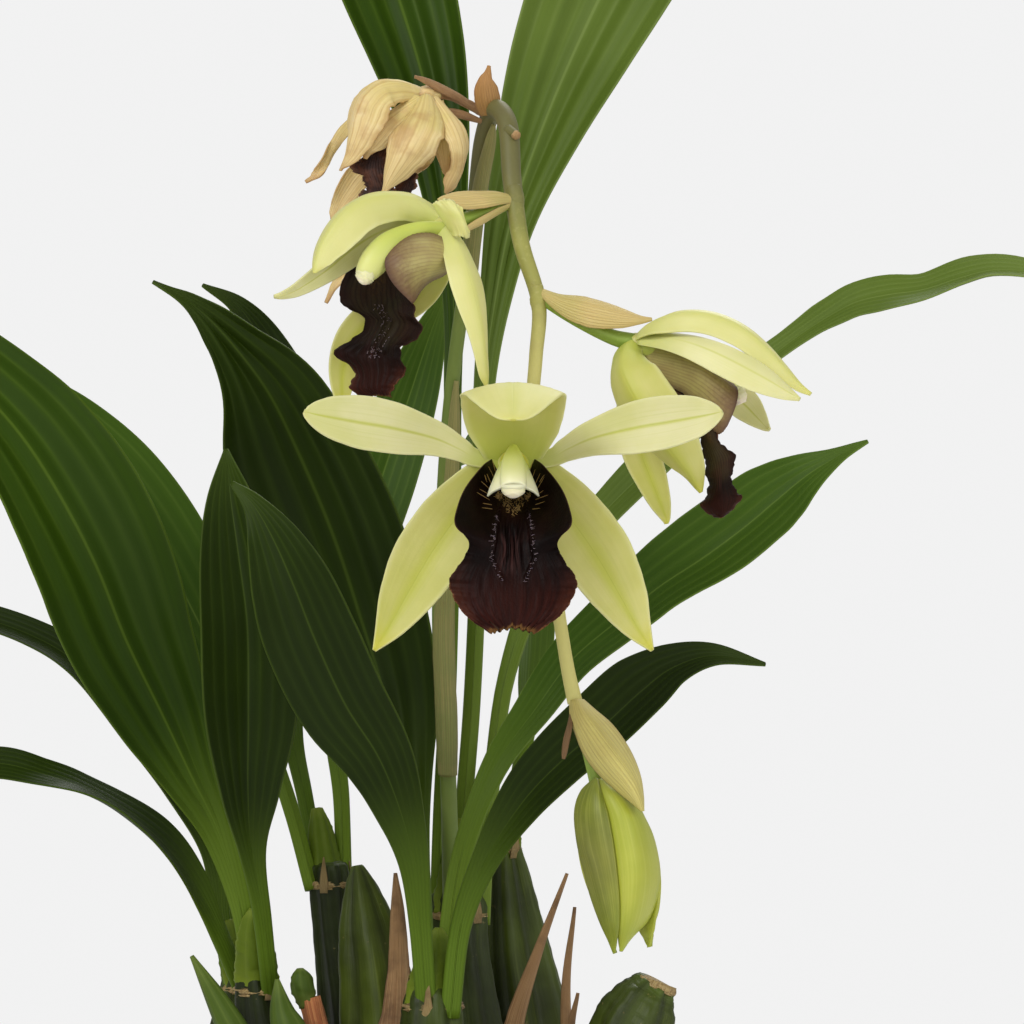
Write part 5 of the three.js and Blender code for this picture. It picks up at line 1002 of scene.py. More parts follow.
flowers = {
  "front": {
    "at": [15.2, -80, 233.8],
    "stalk": [[18.6, -69.5, 246, 1], [18, -74, 241, 1.1], [16, -77, 236, 1.4], [15.2, -79.5, 233.8, 1.6]]},
  "left": {
    "petals": [1], "tufts": 90,
    "tepals": [
      {"faces": [[0.1, 0.8, -0.6], [0.4, 0.75, -0.5], [0.7, 0.65, -0.2]], "cup": 0.35, "fold": 26,
        "spine": [[4, -74, 273.8, 1.6], [1.2, -75, 276, 2.9], [-2, -76.5, 277.6, 3.8], [-5.3, -78.5, 278, 4.6],
        [-8.6, -80.5, 277.3, 5], [-11.5, -82.5, 275.5, 5.1], [-13.9, -84, 272.8, 4.9], [-15.8, -85, 269.6, 4],
        [-16.7, -85.6, 267, 2.6], [-17, -85.8, 265.6, 1.3], [-17, -85.8, 264.8, 0.3]]},
      {"faces": [[0.1, -0.9, -0.3]], "cup": 0.3, "fold": 6, "spine": [[2.4, -73, 273.8, 1.1],
        [-3.2, -72.5, 273.6, 1.9], [-7.7, -73, 272, 2.6], [-11.8, -74.5, 269.2, 2.8],
        [-15.5, -76.5, 265.9, 2.1], [-19.9, -78, 262.8, 1.3], [-22.5, -79, 261.6, 0.7],
        [-24, -79.5, 261.3, 0.3]]},
      {"faces": [[0.3, -0.9, 0.1]], "cup": 0.25, "fold": 5, "spine": [[4.9, -74, 270.4, 1.4],
        [2.6, -72, 265.7, 2.3], [-0.7, -69, 262.1, 2.9], [-5.3, -67, 259.6, 3.2], [-9.5, -66, 257.3, 3.2],
        [-12.2, -65.5, 253.9, 3], [-13.4, -65.5, 249.7, 2.5], [-13.5, -66.5, 245.7, 1.6],
        [-13.4, -67, 243.4, 0.3]]},
      {"faces": [[-0.3, 0.9, 0.1], [-0.6, 0.75, 0], [-0.75, 0.6, 0]], "cup": 0.35, "fold": 14,
        "spine": [[3.6, -75, 273.6, 1.4], [5.9, -79.4, 269.6, 2.5], [7.7, -83, 265.1, 3.3],
        [8.9, -84.5, 260.6, 3.2], [9.8, -85, 256.1, 2.4], [10.3, -85, 252.1, 1.7], [10.7, -84.5, 248.4, 1.2],
        [10.8, -84, 246.7, 0.4]]}],
    "flap": [[2, -78, 276.6, 3.6, -78.5, 274, 5.4, -78.5, 271.4],
      [3.2, -79, 277.1, 5.2, -80.4, 274.6, 6.6, -80, 271.2],
      [5.2, -79.6, 276.9, 6.6, -81, 274.2, 7.8, -80, 271], [6.8, -79.6, 275.6, 7.3, -80.4, 273.6, 8, -80, 272]],
    "sideLobes": [
      {"marks": [0, 1], "thick": 0.55, "ragged": 0.12,
        "rows": [[5.1, -76, 268.4, 5.3, -76.5, 267.3, 5.1, -76, 266.4],
        [4.2, -77, 270.5, 4, -80, 267.3, 3.8, -77, 265],
        [2.3, -78, 271.6, 1.7, -82.5, 267.2, 2.1, -78.5, 264.1],
        [0.1, -79, 271.7, -0.7, -84, 266.7, 0.8, -80, 263.1],
        [-2.2, -80.5, 271, -2.6, -85, 266.1, -0.2, -81.5, 261.7],
        [-4, -82, 269.7, -3.8, -85, 265.4, -0.8, -82.5, 260.6],
        [-5, -83, 268.4, -5.2, -84.3, 264.8, -1.2, -83, 260]]}],
    "lip": [
      {"marks": [1, 0.12], "ruffle": 0.9, "ragged": 0.3, "pace": 3, "keels": [0.0, 0.15, -0.16, 0.3, -0.32],
        "keelSpan": [0.22, 0.66], "keelHeight": 0.9, "fine": 0.14, "fineCount": 4,
        "rows": [[-10, -74, 267.9, -7, -74, 267.5, -3.4, -80, 267.1],
        [-12.4, -71.5, 265.7, -7, -73.5, 265.6, -2.3, -81, 264.1],
        [-13.7, -70, 262.2, -7.3, -73, 262.6, -1.4, -82, 260.9],
        [-12.8, -70, 260.1, -6.9, -73.5, 260, -0.5, -82.5, 258.3],
        [-9.6, -71, 258.2, -5.4, -74, 257.7, 0, -82.5, 255.9],
        [-10, -71, 256.1, -6.1, -74.6, 255.4, -1.7, -82, 253.9],
        [-12.2, -70.5, 254.3, -7.3, -75, 253.1, -3.2, -81, 252.6],
        [-14, -70.5, 252.6, -8, -76.5, 251.3, -2.6, -81.5, 250.3],
        [-11.8, -72, 250.2, -7.6, -77.4, 249.4, -2.7, -81.5, 248.8],
        [-11.4, -73, 248.2, -7.6, -78, 247.5, -3.8, -81, 247.2],
        [-11.8, -74, 246.5, -7.6, -78.4, 246.2, -4.3, -81, 246],
        [-8.8, -76, 245.4, -6.4, -78.8, 245.2, -4.7, -81, 244.7]]}],
    "column": [[4, -74.6, 272.7, 1.3], [0.2, -77, 272.4, 1.5], [-2.9, -79, 271.2, 1.9], [-5.6, -81, 269.3, 2.4],
      [-7.5, -82.3, 267, 2.5], [-8.7, -83, 265.2, 2.0], [-9.2, -83.2, 264.3, 1.5]],
    "cap": [[-8.4, -83, 265.4, 1.5], [-9, -83.4, 264.4, 1.6], [-9.4, -83.5, 263.7, 1.2],
      [-9.6, -83.4, 263.4, 0.4]],
    "stalk": [[15.2, -66.5, 277.8, 0.9], [12.2, -68, 276.4, 1.1], [8.8, -70, 275, 1.4],
      [5.8, -72.5, 273.8, 1.6], [3.4, -74, 273, 1.7]],
    "bracts": [
      {"faces": [[0.1, 0.8, -0.6]], "cup": 0.9, "spine": [[15.4, -66.6, 278.5, 0.9], [12.6, -69, 278.8, 1.9],
        [9.5, -71.2, 278.5, 2.4], [6.5, -72.8, 278.2, 2.3], [3.9, -74, 277.8, 1.1], [2.8, -74.4, 277.5, 0.3]]},
      {"faces": [[0.1, 0.7, 0.7]], "cup": 0.7, "spine": [[15, -67, 277.2, 0.6], [12.6, -69.4, 275.7, 1],
        [10.3, -71.6, 274.2, 1.1], [8.1, -73.2, 273, 0.8], [7.1, -73.8, 272.4, 0.3]]}]},
  "right": {
    "petals": [1, 2], "tufts": 0,
    "tepals": [
      {"faces": [[-0.1, 0.6, -0.8], [-0.3, 0.7, -0.7], [-0.6, 0.7, -0.4]], "cup": 0.45, "fold": 16,
        "spine": [[35.7, -69, 255.1, 1.5], [37.5, -72, 256.8, 2.3], [39.9, -74.5, 257.9, 2.9],
        [43.1, -76, 258.6, 3.3], [46.8, -77, 258.4, 3.4], [50.4, -77.5, 257.3, 3.4], [53.7, -78, 255.4, 3.2],
        [56.8, -78, 252.7, 2.8], [59.6, -78, 249.7, 2.1], [62.1, -78, 246.9, 1.2], [64.1, -78, 245.3, 0.3]]},
      {"faces": [[-0.1, 0.9, -0.5], [-0.3, 0.85, -0.4], [-0.5, 0.8, -0.2]], "cup": 0.35, "fold": 5,
        "spine": [[36.2, -71, 254.7, 1.1], [40.2, -75, 254.5, 1.9], [43.8, -78, 253.7, 2.5],
        [47.4, -80, 252.3, 2.95], [50.7, -81, 250.7, 3.2], [53.9, -81.5, 249, 3.1], [57, -81.5, 247.3, 2.5],
        [59.7, -81, 245.7, 1.5], [62.1, -80.5, 244.4, 0.3]]},
      {"faces": [[0, -1, 0.1]], "cup": 0.3, "fold": 4, "spine": [[37.5, -67, 254, 1], [44, -63, 251, 1.8],
        [48.4, -62, 248.5, 2.2], [51.9, -61.5, 246, 2.7], [54.3, -61.5, 243.8, 2.7], [56.1, -62, 241.9, 1.9],
        [57.5, -62.5, 240.4, 0.9], [58.2, -63, 239.8, 0.3]]},
      {"faces": [[0.4, 0.85, 0], [0.5, 0.8, 0.1]], "cup": 0.3, "fold": 26, "marks": [0, 0.1],
        "spine": [[35.2, -70, 254.9, 1.8], [33.6, -73, 252.6, 3.6], [33.2, -76, 249.8, 5.1],
        [34.4, -78, 246.5, 5.9], [36.4, -79, 242.9, 6.2], [38.8, -79, 239.2, 6.1], [41.4, -78, 235.8, 5.2],
        [43.9, -76.5, 232.7, 3.4], [45.5, -75, 230.4, 1.4], [46.2, -74.6, 229.3, 0.3]]},
      {"faces": [[0.1, -1, 0]], "cup": 0.25, "fold": 6, "spine": [[35.9, -68, 253, 1.6],
        [35.6, -66, 247.2, 2.7], [35.6, -66, 241.4, 3.4], [36.4, -66, 236.4, 3.3], [38.1, -66, 231.8, 2.8],
        [39.7, -66.5, 227.6, 1.9], [40.6, -67, 225.1, 0.9], [40.8, -67, 224, 0.3]]}],
    "sideLobes": [
      {"marks": [1, 0], "thick": 0.55, "ragged": 0.1,
        "rows": [[36.8, -69.5, 254.4, 37.4, -70, 251.4, 38.8, -70, 247.6],
        [41, -71, 253.6, 42.8, -73.5, 249.9, 43.3, -72, 245.8],
        [44.5, -72, 252.1, 46, -76, 248.6, 46.1, -73, 242.9],
        [47.8, -73, 250.2, 48.8, -77, 246.5, 47.9, -74, 240],
        [50.4, -74, 248.2, 50.9, -77, 244.8, 49.3, -75, 239],
        [51.8, -75, 246.7, 52, -76.5, 244.5, 50.4, -75.5, 240.2]]},
      {"marks": [0, 1], "thick": 0.55, "ragged": 0.1,
        "rows": [[38.8, -66.5, 253.3, 39.6, -66, 251.3, 41.3, -67, 247.9],
        [41.2, -66, 253, 42.8, -64.5, 249.9, 43.3, -66, 245.8],
        [44.5, -65, 251.8, 46, -63, 248.6, 46.1, -66, 242.9],
        [47.8, -65, 249.9, 48.8, -63, 246.5, 47.9, -67, 240],
        [50.4, -66, 247.9, 50.9, -65, 244.8, 49.3, -69, 239],
        [51.4, -67, 246.4, 51.6, -67, 244.5, 50.2, -70, 240.2]]}],
    "lip": [
      {"marks": [1, 0.2], "ruffle": 0.55, "ragged": 0.3, "pace": 3,
        "rows": [[44.9, -72, 242.1, 46.9, -73, 241.2, 49.2, -74, 240],
        [46.3, -72.5, 239.2, 47.7, -74, 238.5, 49, -74.5, 237.9],
        [46.5, -72, 237.1, 48.2, -74.5, 236.9, 50.1, -75, 236.6],
        [46.8, -72, 234.6, 49, -75.5, 234.8, 51.9, -75, 235.1],
        [47.2, -72.5, 232.5, 49.3, -76, 232.7, 51.3, -75, 232.9],
        [47.7, -73, 230.9, 49.4, -76, 230.9, 51, -75, 231.1],
        [47.1, -73, 228.9, 49.4, -76, 229.2, 52, -75, 229.4],
        [46.4, -73, 227.2, 49.3, -76, 227.6, 52.9, -75, 228.5],
        [47.7, -73.5, 225.7, 49.5, -76, 226.1, 51.2, -75, 226.5],
        [49, -74, 225.1, 49.6, -75, 225.2, 50.3, -75, 225.7]]},
      {"marks": [1, 0], "thick": 0.6, "rows": [[39, -70, 248.6, 39, -68, 247.6, 39.4, -66, 248.6],
        [43.4, -71.6, 245.4, 43, -69, 244.2, 43.2, -66.4, 245.4],
        [46.2, -72.8, 242.6, 46, -70, 241.4, 46, -67.4, 242.6],
        [48.6, -74.2, 239.6, 48.4, -72, 238.6, 48.2, -69.6, 239.6],
        [49, -74.6, 238, 48, -74, 237.6, 47, -72.6, 238.2]]}],
    "column": [[36.2, -69.6, 253.6, 1.6], [41.3, -69, 252.4, 1.8], [45.5, -68.6, 250.8, 1.9],
      [49.3, -68.4, 248.4, 2], [51.8, -68, 246.2, 1.7]],
    "cap": [[51.2, -68, 246.8, 1.4], [52.5, -68, 245.4, 1.7], [53.1, -68, 244, 1]],
    "stalk": [[19.8, -70, 261.4, 0.9], [24.2, -70, 258.7, 1.05], [28, -70, 256.7, 1.2],
      [31.7, -69.6, 255.1, 1.4], [35, -69.4, 254.2, 1.7]],
    "bracts": [
      {"faces": [[0.1, 0.9, -0.4]], "cup": 0.8, "spine": [[19.8, -70.8, 262.7, 0.6], [22.5, -72, 261.1, 1.6],
        [25.8, -72.5, 260, 2.7], [29.6, -72.5, 259.1, 2.8], [33.3, -72, 258.4, 2], [36.2, -71.5, 258, 0.9],
        [38.2, -71, 258, 0.3]]}]},
}

tepalLook = {"long": 56, "wide": 28, "thick": 0.7, "rim": 0.32, "fine": 0.04, "fineCount": 5, "ragged": 0.015}


def mirrored(spec):
    turn = np.array([-1, 1, 1])
    spine = [[-x, *rest] for x, *rest in spec["spine"]]
    return {**spec, "spine": spine, "faces": [list(turn * face) for face in spec["faces"]]}


def tepalPaint(name, rib, pale, cream):  # rib: how far the yellow-green middle band spreads
    paint = Paint(name)
    side, length = paint.across.size(), paint.length
    clouds, streaks = paint.bodyNoise(90, 3), paint.noise((22, 1.0, 1), 1.0, 3)
    sparkle = paint.bodyNoise(2600, 1)
    midrib = side.fading(0.0, 0.035) * length.between(0.1, 0.4)
    sides = (1 - (side - 0.36).size().between(0.0, 0.03)) * length.between(0.15, 0.5)
    sides = sides * length.fading(0.6, 0.95)
    color = paint.coats(
        cream, (pale, clouds.between(0.3, 0.7)),
        ((186, 192, 84), streaks.between(0.4, 0.8) * 0.2),
        ((182, 186, 44), side.fading(0.02, rib) * length.between(0.05, 0.4) * 0.62),
        ((166, 174, 50), midrib * 0.22 + sides * 0.1),
        ((176, 188, 58), length.fading(0.0, 0.3) * 0.8),
        ((196, 192, 52), length.between(0.8, 1.0) * rib * 2),
        ((226, 222, 168), side.between(0.82, 1.0) * 0.4),
        ((244, 240, 174), paint.back * 0.36))
    height = midrib * -0.6 + streaks * 0.35 + sparkle * 0.25
    return paint.finish(color, 0.44 + 0.14 * sparkle, height, (0.25, 0.0002), **softLight(0.0014, 0.18))


# Half cross-sections of the front lip: middle [y, z], corner [x, y, z], margin [x, y, z].
lipRows = [[-1.6, -2.6, 2, -1.4, -3.4, 3.6, -2.6, 0.8], [-5, -4.6, 3.8, -5, -6, 5.0, -6.6, -0.4],
  [-8.6, -6.8, 5, -8.8, -8.8, 7.6, -11, -3.8], [-11.6, -9.2, 5.6, -12.4, -10.8, 8.9, -15.2, -7],
  [-13.2, -11.8, 5, -14.6, -12.4, 9.2, -17.4, -9.8], [-14.4, -14, 4, -15.4, -13.8, 7.1, -16.4, -12.6],
  [-15.4, -16.4, 5, -16, -16, 8.05, -15.6, -15.4], [-16.6, -19, 6, -17, -19, 10.15, -15.8, -18.6],
  [-17.8, -21.8, 6, -18, -22, 9.55, -16.6, -21.4], [-18.8, -24.2, 5, -19, -24.4, 7.6, -18, -24.2],
  [-19.4, -26.2, 2.6, -19.4, -26.8, 3.6, -19, -27]]

lipLook = {"long": 140, "wide": 120, "thick": 0.5, "ragged": 0.17, "ruffle": 0.75, "waist": 0.35,
           "tipNotch": 0.5, "radiating": 0.055, "radiatingCount": 4,
           "sideKeel": [[1.6, -5.6], [2.1, -7.4], [2.5, -9], [3, -12.1], [3.4, -15.2], [2.6, -17.1],
                        [1.6, -19.1]], "sideKeelHeight": 0.6, "sideKeelWidth": 0.26,
           "midKeels": [-1.6, -0.8, 0, 0.8, 1.6], "midKeelHeight": 0.7, "midKeelWidth": 0.24,
           "midKeelSpan": (-17.6, -8.6)}


def lipSurface(t, u):
    rows = along(lipRows, t)
    a, sign = np.abs(u)[None, :], np.where(u < 0, -1, 1)[None, :]
    middle = np.stack([np.zeros(len(t)), rows[:, 0], rows[:, 1]], -1)[:, None]
    corner, margin = rows[:, None, 2:5], rows[:, None, 5:8]
    share = a[..., None]
    point = (1 - share) ** 2 * middle + 2 * share * (1 - share) * corner + share ** 2 * margin
    beat = lipLook["ruffle"] * a ** 3 * smooth(0.42, 0.62, t)[:, None]
    ruffle = beat * twoEdges(t, u, (61, 67), 5)
    waist = lipLook["waist"] * a ** 3 * (np.sin(26 * t) * smooth(0.1, 0.3, t))[:, None]
    count = lipLook["radiatingCount"]
    rays = np.cos(2 * math.pi * count * a + 3 * wander(83, t, 1)[:, None] + 2 * np.sin(7 * a + 2 * sign))
    rays = rays + 0.7 * np.cos(2 * math.pi * 1.7 * count * a + 4 * wander(85, t, 1)[:, None] + sign)
    rays = lipLook["radiating"] * rays * smooth(0.5, 0.8, t)[:, None] * smooth(0.1, 0.5, a)
    point = point + np.stack([0 * ruffle, ruffle + waist + rays, 0 * ruffle], -1)
    fringe = lipLook["ragged"] * a ** 8 * smooth(0.5, 0.62, t)[:, None]
    point[..., 0] = (point[..., 0] + fringe * twoEdges(t, u, (71, 73), 16)) * sign
    point[..., 2] += smooth(0.9, 1, t)[:, None] * lipLook["tipNotch"] * wander(79, u, 4)[None, :]
    return point


def keelHeight(point):  # ridges that run down the lip, by place
    x, z = point[..., 0], point[..., 2]
    line = np.array(lipLook["sideKeel"])
    reach = np.interp(-z, -line[:, 1], line[:, 0])
    span = smooth(line[-1, 1] - 0.6, line[-1, 1] + 1.2, z) * (1 - smooth(line[0, 1] - 0.5, line[0, 1] + 1.5, z))
    high = lipLook["sideKeelHeight"] * np.exp(-((np.abs(x) - reach) / lipLook["sideKeelWidth"]) ** 2) * span
    high = high * (0.8 + 0.3 * np.sin(z * 7.5) * np.sin(z * 3.1 + 1))
    low, top = lipLook["midKeelSpan"]
    span = smooth(low - 0.5, low + 2.5, z) * (1 - smooth(top - 2.5, top + 0.5, z))
    for k, place in enumerate(lipLook["midKeels"]):
        bent = place * (0.85 + 0.15 * np.sin(0.4 * z + k)) + 0.05 * np.sin(1.3 * z + 2 * k)
        high = high + lipLook["midKeelHeight"] * np.exp(-((x - bent) / lipLook["midKeelWidth"]) ** 2) * span
    return high


def lipBody():
    t = np.linspace(0, 1, lipLook["long"] + 1)
    u = np.linspace(-1, 1, lipLook["wide"] + 1)
    point, normal = lipSurface(t, u), sheetNormal(lipSurface, t, u)
    half = lipLook["thick"] / 2 * mix(1.0, 0.6, np.abs(u) ** 3)[None, :, None]
    front = point - normal * (half + keelHeight(point)[..., None])
    return plate(front, point + normal * half, u, t)


def hair(random, at, way, length, radius, sway=0.25):
    bend = random.normal(0, sway, 3)
    middle, end = at + way * length * 0.55 + bend * length * 0.2, at + way * length + bend * length * 0.5
    path = [[*at, radius], [*middle, radius * 0.8], [*end, radius * 0.35]]
    return stem(path, sides=5, long=3, faces=[[0.3, 0.1, 1]], least=0.01)


# Hairs of the front lip. Tufts are [x, z, how much they rise, length].
hairLook = {"seed": 600, "keelStep": 0.2, "keelLong": (0.15, 0.8), "keelRadius": (0.025, 0.045), "throat": 420,
            "throatLong": (0.25, 0.8), "throatRadius": 0.04, "tuftRadius": 0.07, "tuftSway": 0.18,
            "tufts": [[2.9, -1.6, 1, 1.5], [3.3, -2.6, 0.8, 1.5], [3.7, -3.4, 0.6, 1.3], [4.1, -4.3, 0.35, 1.6],
                      [4, -5.2, 0.15, 2], [3.8, -6, -0.05, 1.9], [3.6, -6.8, -0.25, 1.5], [4.6, -3, 0.7, 1.2],
                      [3.3, -7.6, -0.45, 1.1]]}


def lipHairs():  # fringe on the keels, and golden hairs under the column
    random = np.random.RandomState(hairLook["seed"])
    t, u = np.linspace(0, 1, 240), np.linspace(-1, 1, 161)
    point, normal = lipSurface(t, u), -sheetNormal(lipSurface, t, u)
    pale, gold = [], []

    def spot(x, z):
        k = np.argmin((point[..., 0] - x) ** 2 + (point[..., 2] - z) ** 2)
        return point.reshape(-1, 3)[k], normal.reshape(-1, 3)[k]

    line = np.array(lipLook["sideKeel"])
    for sign in (-1, 1):
        for z in np.arange(line[-1, 1] + 0.2, line[0, 1] - 3, hairLook["keelStep"]):
            z = z + random.normal(0, 0.15)
            x = sign * (np.interp(-z, -line[:, 1], line[:, 0]) + random.normal(0, 0.12))
            at, way = spot(x, z)
            lean = np.array([sign * random.uniform(0.2, 1.3), 0, random.uniform(-0.6, 0.5)])
            length, radius = (random.uniform(*hairLook[key]) for key in ("keelLong", "keelRadius"))
            pale.append(hair(random, at + way * 0.5, unit(way * 0.5 + lean), length, radius))
        for x, z, rise, reach in hairLook["tufts"]:
            at, way = spot(sign * (x + random.uniform(-0.15, 0.15)), z)
            lie = unit(np.array([sign * 1.0, -0.1, rise + random.uniform(-0.1, 0.1)]))
            flat = unit(lie - way * np.dot(lie, way))
            gold.append(hair(random, at + way * 0.3, unit(flat + way * 0.2), reach * 1.45,
                             hairLook["tuftRadius"], hairLook["tuftSway"]))
    for k in range(hairLook["throat"]):  # a golden V of hairs below the column
        x = random.uniform(-3.0, 3.0)
        z = -5.2 + 0.1 * abs(x) - random.uniform(0, 1) * (3.8 - 1.1 * abs(x))
        at, way = spot(x, z)
        lie = np.array([random.normal(-0.15 * x, 0.5), 0, random.normal(-0.4, 0.5)])
        length = random.uniform(*hairLook["throatLong"])
        gold.append(hair(random, at + way * 0.2, unit(way * 0.9 + lie), length, hairLook["throatRadius"]))
    return pale, gold


def lipPaint():
    paint = Paint("lip")
    side, length = paint.across.size(), paint.length
    rays = paint.noise((26, 2.4, 1), 1.0, 5)
    clouds, grain = paint.bodyNoise(260, 4), paint.bodyNoise(2400, 2)
    midlobe = length.between(0.55, 0.9)
    # ridges marks a painted sheen on the middle ridges of the lip, laid on in purple-brown below
    ridges = side.fading(0.14, 0.36) * length.between(0.34, 0.44) * length.fading(0.56, 0.7)
    edge = (side + (grain - 0.5) * 0.12).between(0.965, 1.0) * length.between(0.6, 0.8)
    tip = (length + (clouds - 0.5) * 0.1).between(0.975, 1.0)
    throat = length.fading(0.1, 0.26) * side.fading(0.1, 0.4)
    inside = paint.coats(
        (8, 2, 1), ((20, 6, 4), clouds.between(0.35, 0.7)),
        ((66, 25, 17), midlobe * (0.25 + 0.35 * rays.between(0.36, 0.7))),
        ((98, 54, 38), side.between(0.6, 1.0) * midlobe * 0.4 * clouds.between(0.3, 0.6)),
        # painted sheen on the middle ridges
        ((92, 58, 54), ridges * rays.between(0.45, 0.75) * 0.55),
        ((134, 88, 56), edge * 0.6), ((136, 98, 50), tip * 0.5),
        ((84, 60, 20), throat * 0.45 * grain.between(0.4, 0.6)))
    outside = paint.coats(
        (128, 114, 76), ((112, 84, 60), clouds.between(0.35, 0.7)),
        ((66, 46, 36), side.wave(7) ** 4 * 0.6), ((70, 40, 34), side.between(0.5, 0.95) * 0.8),
        ((40, 20, 17), length.between(0.42, 0.6) * 0.9))
    color = paint.blend(inside, outside, paint.back)
    return paint.finish(color, 0.36 + 0.2 * rays, rays + grain * 0.5, (0.4, 0.0003), Specular_IOR_Level=0.07)


def earPaint():  # the side lobes from outside: khaki, veined, with a brown margin
    paint = Paint("lip_side")
    side, length = paint.across, paint.length
    clouds, grain = paint.bodyNoise(200, 4), paint.bodyNoise(1800, 2)
    wobble = side + (clouds - 0.5) * 0.14
    veins = ((wobble * 0.5 + 0.5).wave(15)) ** 3 * (0.3 + 0.7 * clouds)
    outside = paint.coats(
        (184, 172, 104), ((164, 146, 92), clouds.between(0.3, 0.7)),
        ((112, 84, 62), veins * 0.36))
    margin = (length + (grain - 0.5) * 0.25 + (clouds - 0.5) * 0.15).between(0.42, 0.9)
    outside = paint.coats(
        outside, ((108, 74, 52), margin * 0.85),
        ((78, 44, 34), length.between(0.86, 1.0) * 0.75),
        ((104, 74, 50), side.size().between(0.6, 1.0) * 0.75))
    inside = paint.coats((18, 7, 6), ((40, 19, 15), clouds.between(0.35, 0.7)))
    color = paint.blend(inside, outside, paint.back)
    return paint.finish(color, 0.5 + 0.15 * grain, veins + grain * 0.3, (0.3, 0.0002),
                        **softLight(0.0008, 0.06))


wings = {"faces": [[0, -0.4, -1]], "cup": 1.05, "long": 50, "wide": 40, "rim": 0.3, "seed": 5,
  "spine": [[0, 1, 0.5, 1.7], [0, -3.4, 1.4, 2.2], [0, -7, 0.4, 3], [0, -10.2, -1.6, 4.1], [0, -12.1, -3.7, 5]]}
ridgePath = [[0, 0.8, 1, 0.4], [0, -3, 2.8, 0.45], [0, -6, 2.2, 1], [0, -9, 0.4, 1.8], [0, -11.6, -2.2, 2.15],
  [0, -12.6, -3.6, 2.1], [0, -12.8, -4.4, 1.6]]


capPath = [[0, -11.2, -2.6, 1.2], [0, -12.1, -3.5, 1.7], [0, -12.6, -4.2, 1.9], [0, -12.8, -4.7, 1.8],
  [0, -12.8, -5.15, 1.3], [0, -12.7, -5.35, 0.4]]


def columnPaint(name, top, foot, rim):
    paint = Paint(name)
    length, grain = paint.length, paint.bodyNoise(900, 2)
    color = paint.coats(
        top, (foot, length.between(0.35, 0.95)),
        (rim, paint.across.size().between(0.7, 1.0) * 0.3),
        ((206, 208, 112), paint.bodyNoise(240, 3).between(0.5, 0.8) * 0.2))
    return paint.finish(color, 0.4 + 0.14 * grain, grain, (0.15, 0.0002), **softLight(0.002, 0.2))


def ovaryPaint(name, green, deep, pale):
    paint = Paint(name)
    ribs, fleck = (paint.across * 0.5 + 0.5).wave(6), paint.bodyNoise(1300, 2)
    color = paint.coats(
        green, (deep, paint.length.between(0.2, 0.9) * 0.3 + ribs * 0.35),
        (pale, fleck.between(0.55, 0.8) * 0.3))
    return paint.finish(color, 0.44 + 0.14 * fleck, ribs + fleck * 0.3, (0.25, 0.0003), **softLight(0.001, 0.1))


frontHub = [[0, 2.2, 0, 1.6], [0, 0.6, 0, 2.7], [0, -1.6, 0, 2.2]]
flapLook = {"thick": 0.35, "rim": 0.3, "ruffle": 0.25, "ragged": 0.15, "pace": 2, "marks": (1, 1), "tuck": 0.1,
            "seed": 575}


def tepals(specs, seed, step=1):
    return [blade(**{**tepalLook, **spec, "seed": seed + step * j}) for j, spec in enumerate(specs)]


def frontParts():
    pale, gold = lipHairs()
    ridge = stem(ridgePath, sides=36, long=48, flat=0.8, faces=[[0, 0.4, 1]])
    sepals = tepals((dorsal, frontSepal, mirrored(frontSepal)), 510)
    return {"tepals": sepals + [stem(frontHub, sides=24, long=10)],
            "petals": tepals((petal, mirrored(petal)), 520), "lip": [lipBody()], "sideLobes": [],
            "fringe": pale, "hairs": gold, "column": [blade(**wings), ridge],
            "cap": [stem(capPath, sides=32, long=28, flat=0.72, faces=[[0, 0.5, 0.8]], lumps=0.03)]}


def sideParts(flower, k):
    blades, narrow, face = tepals(flower["tepals"], 540 + 9 * k), flower["petals"], [[0, -1, 0.1]]
    if "flap" in flower:
        blades.append(lobe(flower["flap"], **flapLook))
    hub, inward = (np.array(row[:3]) for row in (flower["stalk"][-1], flower["column"][1]))
    hubPath = [[*mix(hub, inward, share), radius] for share, radius in ((-0.1, 1.4), (0.1, 1.8), (0.36, 1))]
    sheets = [part for j, part in enumerate(blades) if j not in narrow]
    lobes = {key: [lobe(**{**spec, "seed": seed + 11 * k}) for spec in flower[key]]
             for key, seed in (("lip", 640), ("sideLobes", 645))}
    return {**lobes, "tepals": [stem(hubPath, sides=24, long=12)] + sheets,
            "petals": [blades[j] for j in narrow],
            "fringe": sideHairs(flower["lip"][0]["rows"], flower["tufts"], 600 + k), "hairs": [],
            "column": [stem(flower["column"], sides=36, long=48, faces=face, ridges=0.05, ridgeCount=3)],
            "cap": [stem(flower["cap"], sides=32, long=28, lumps=0.06, faces=face)]}


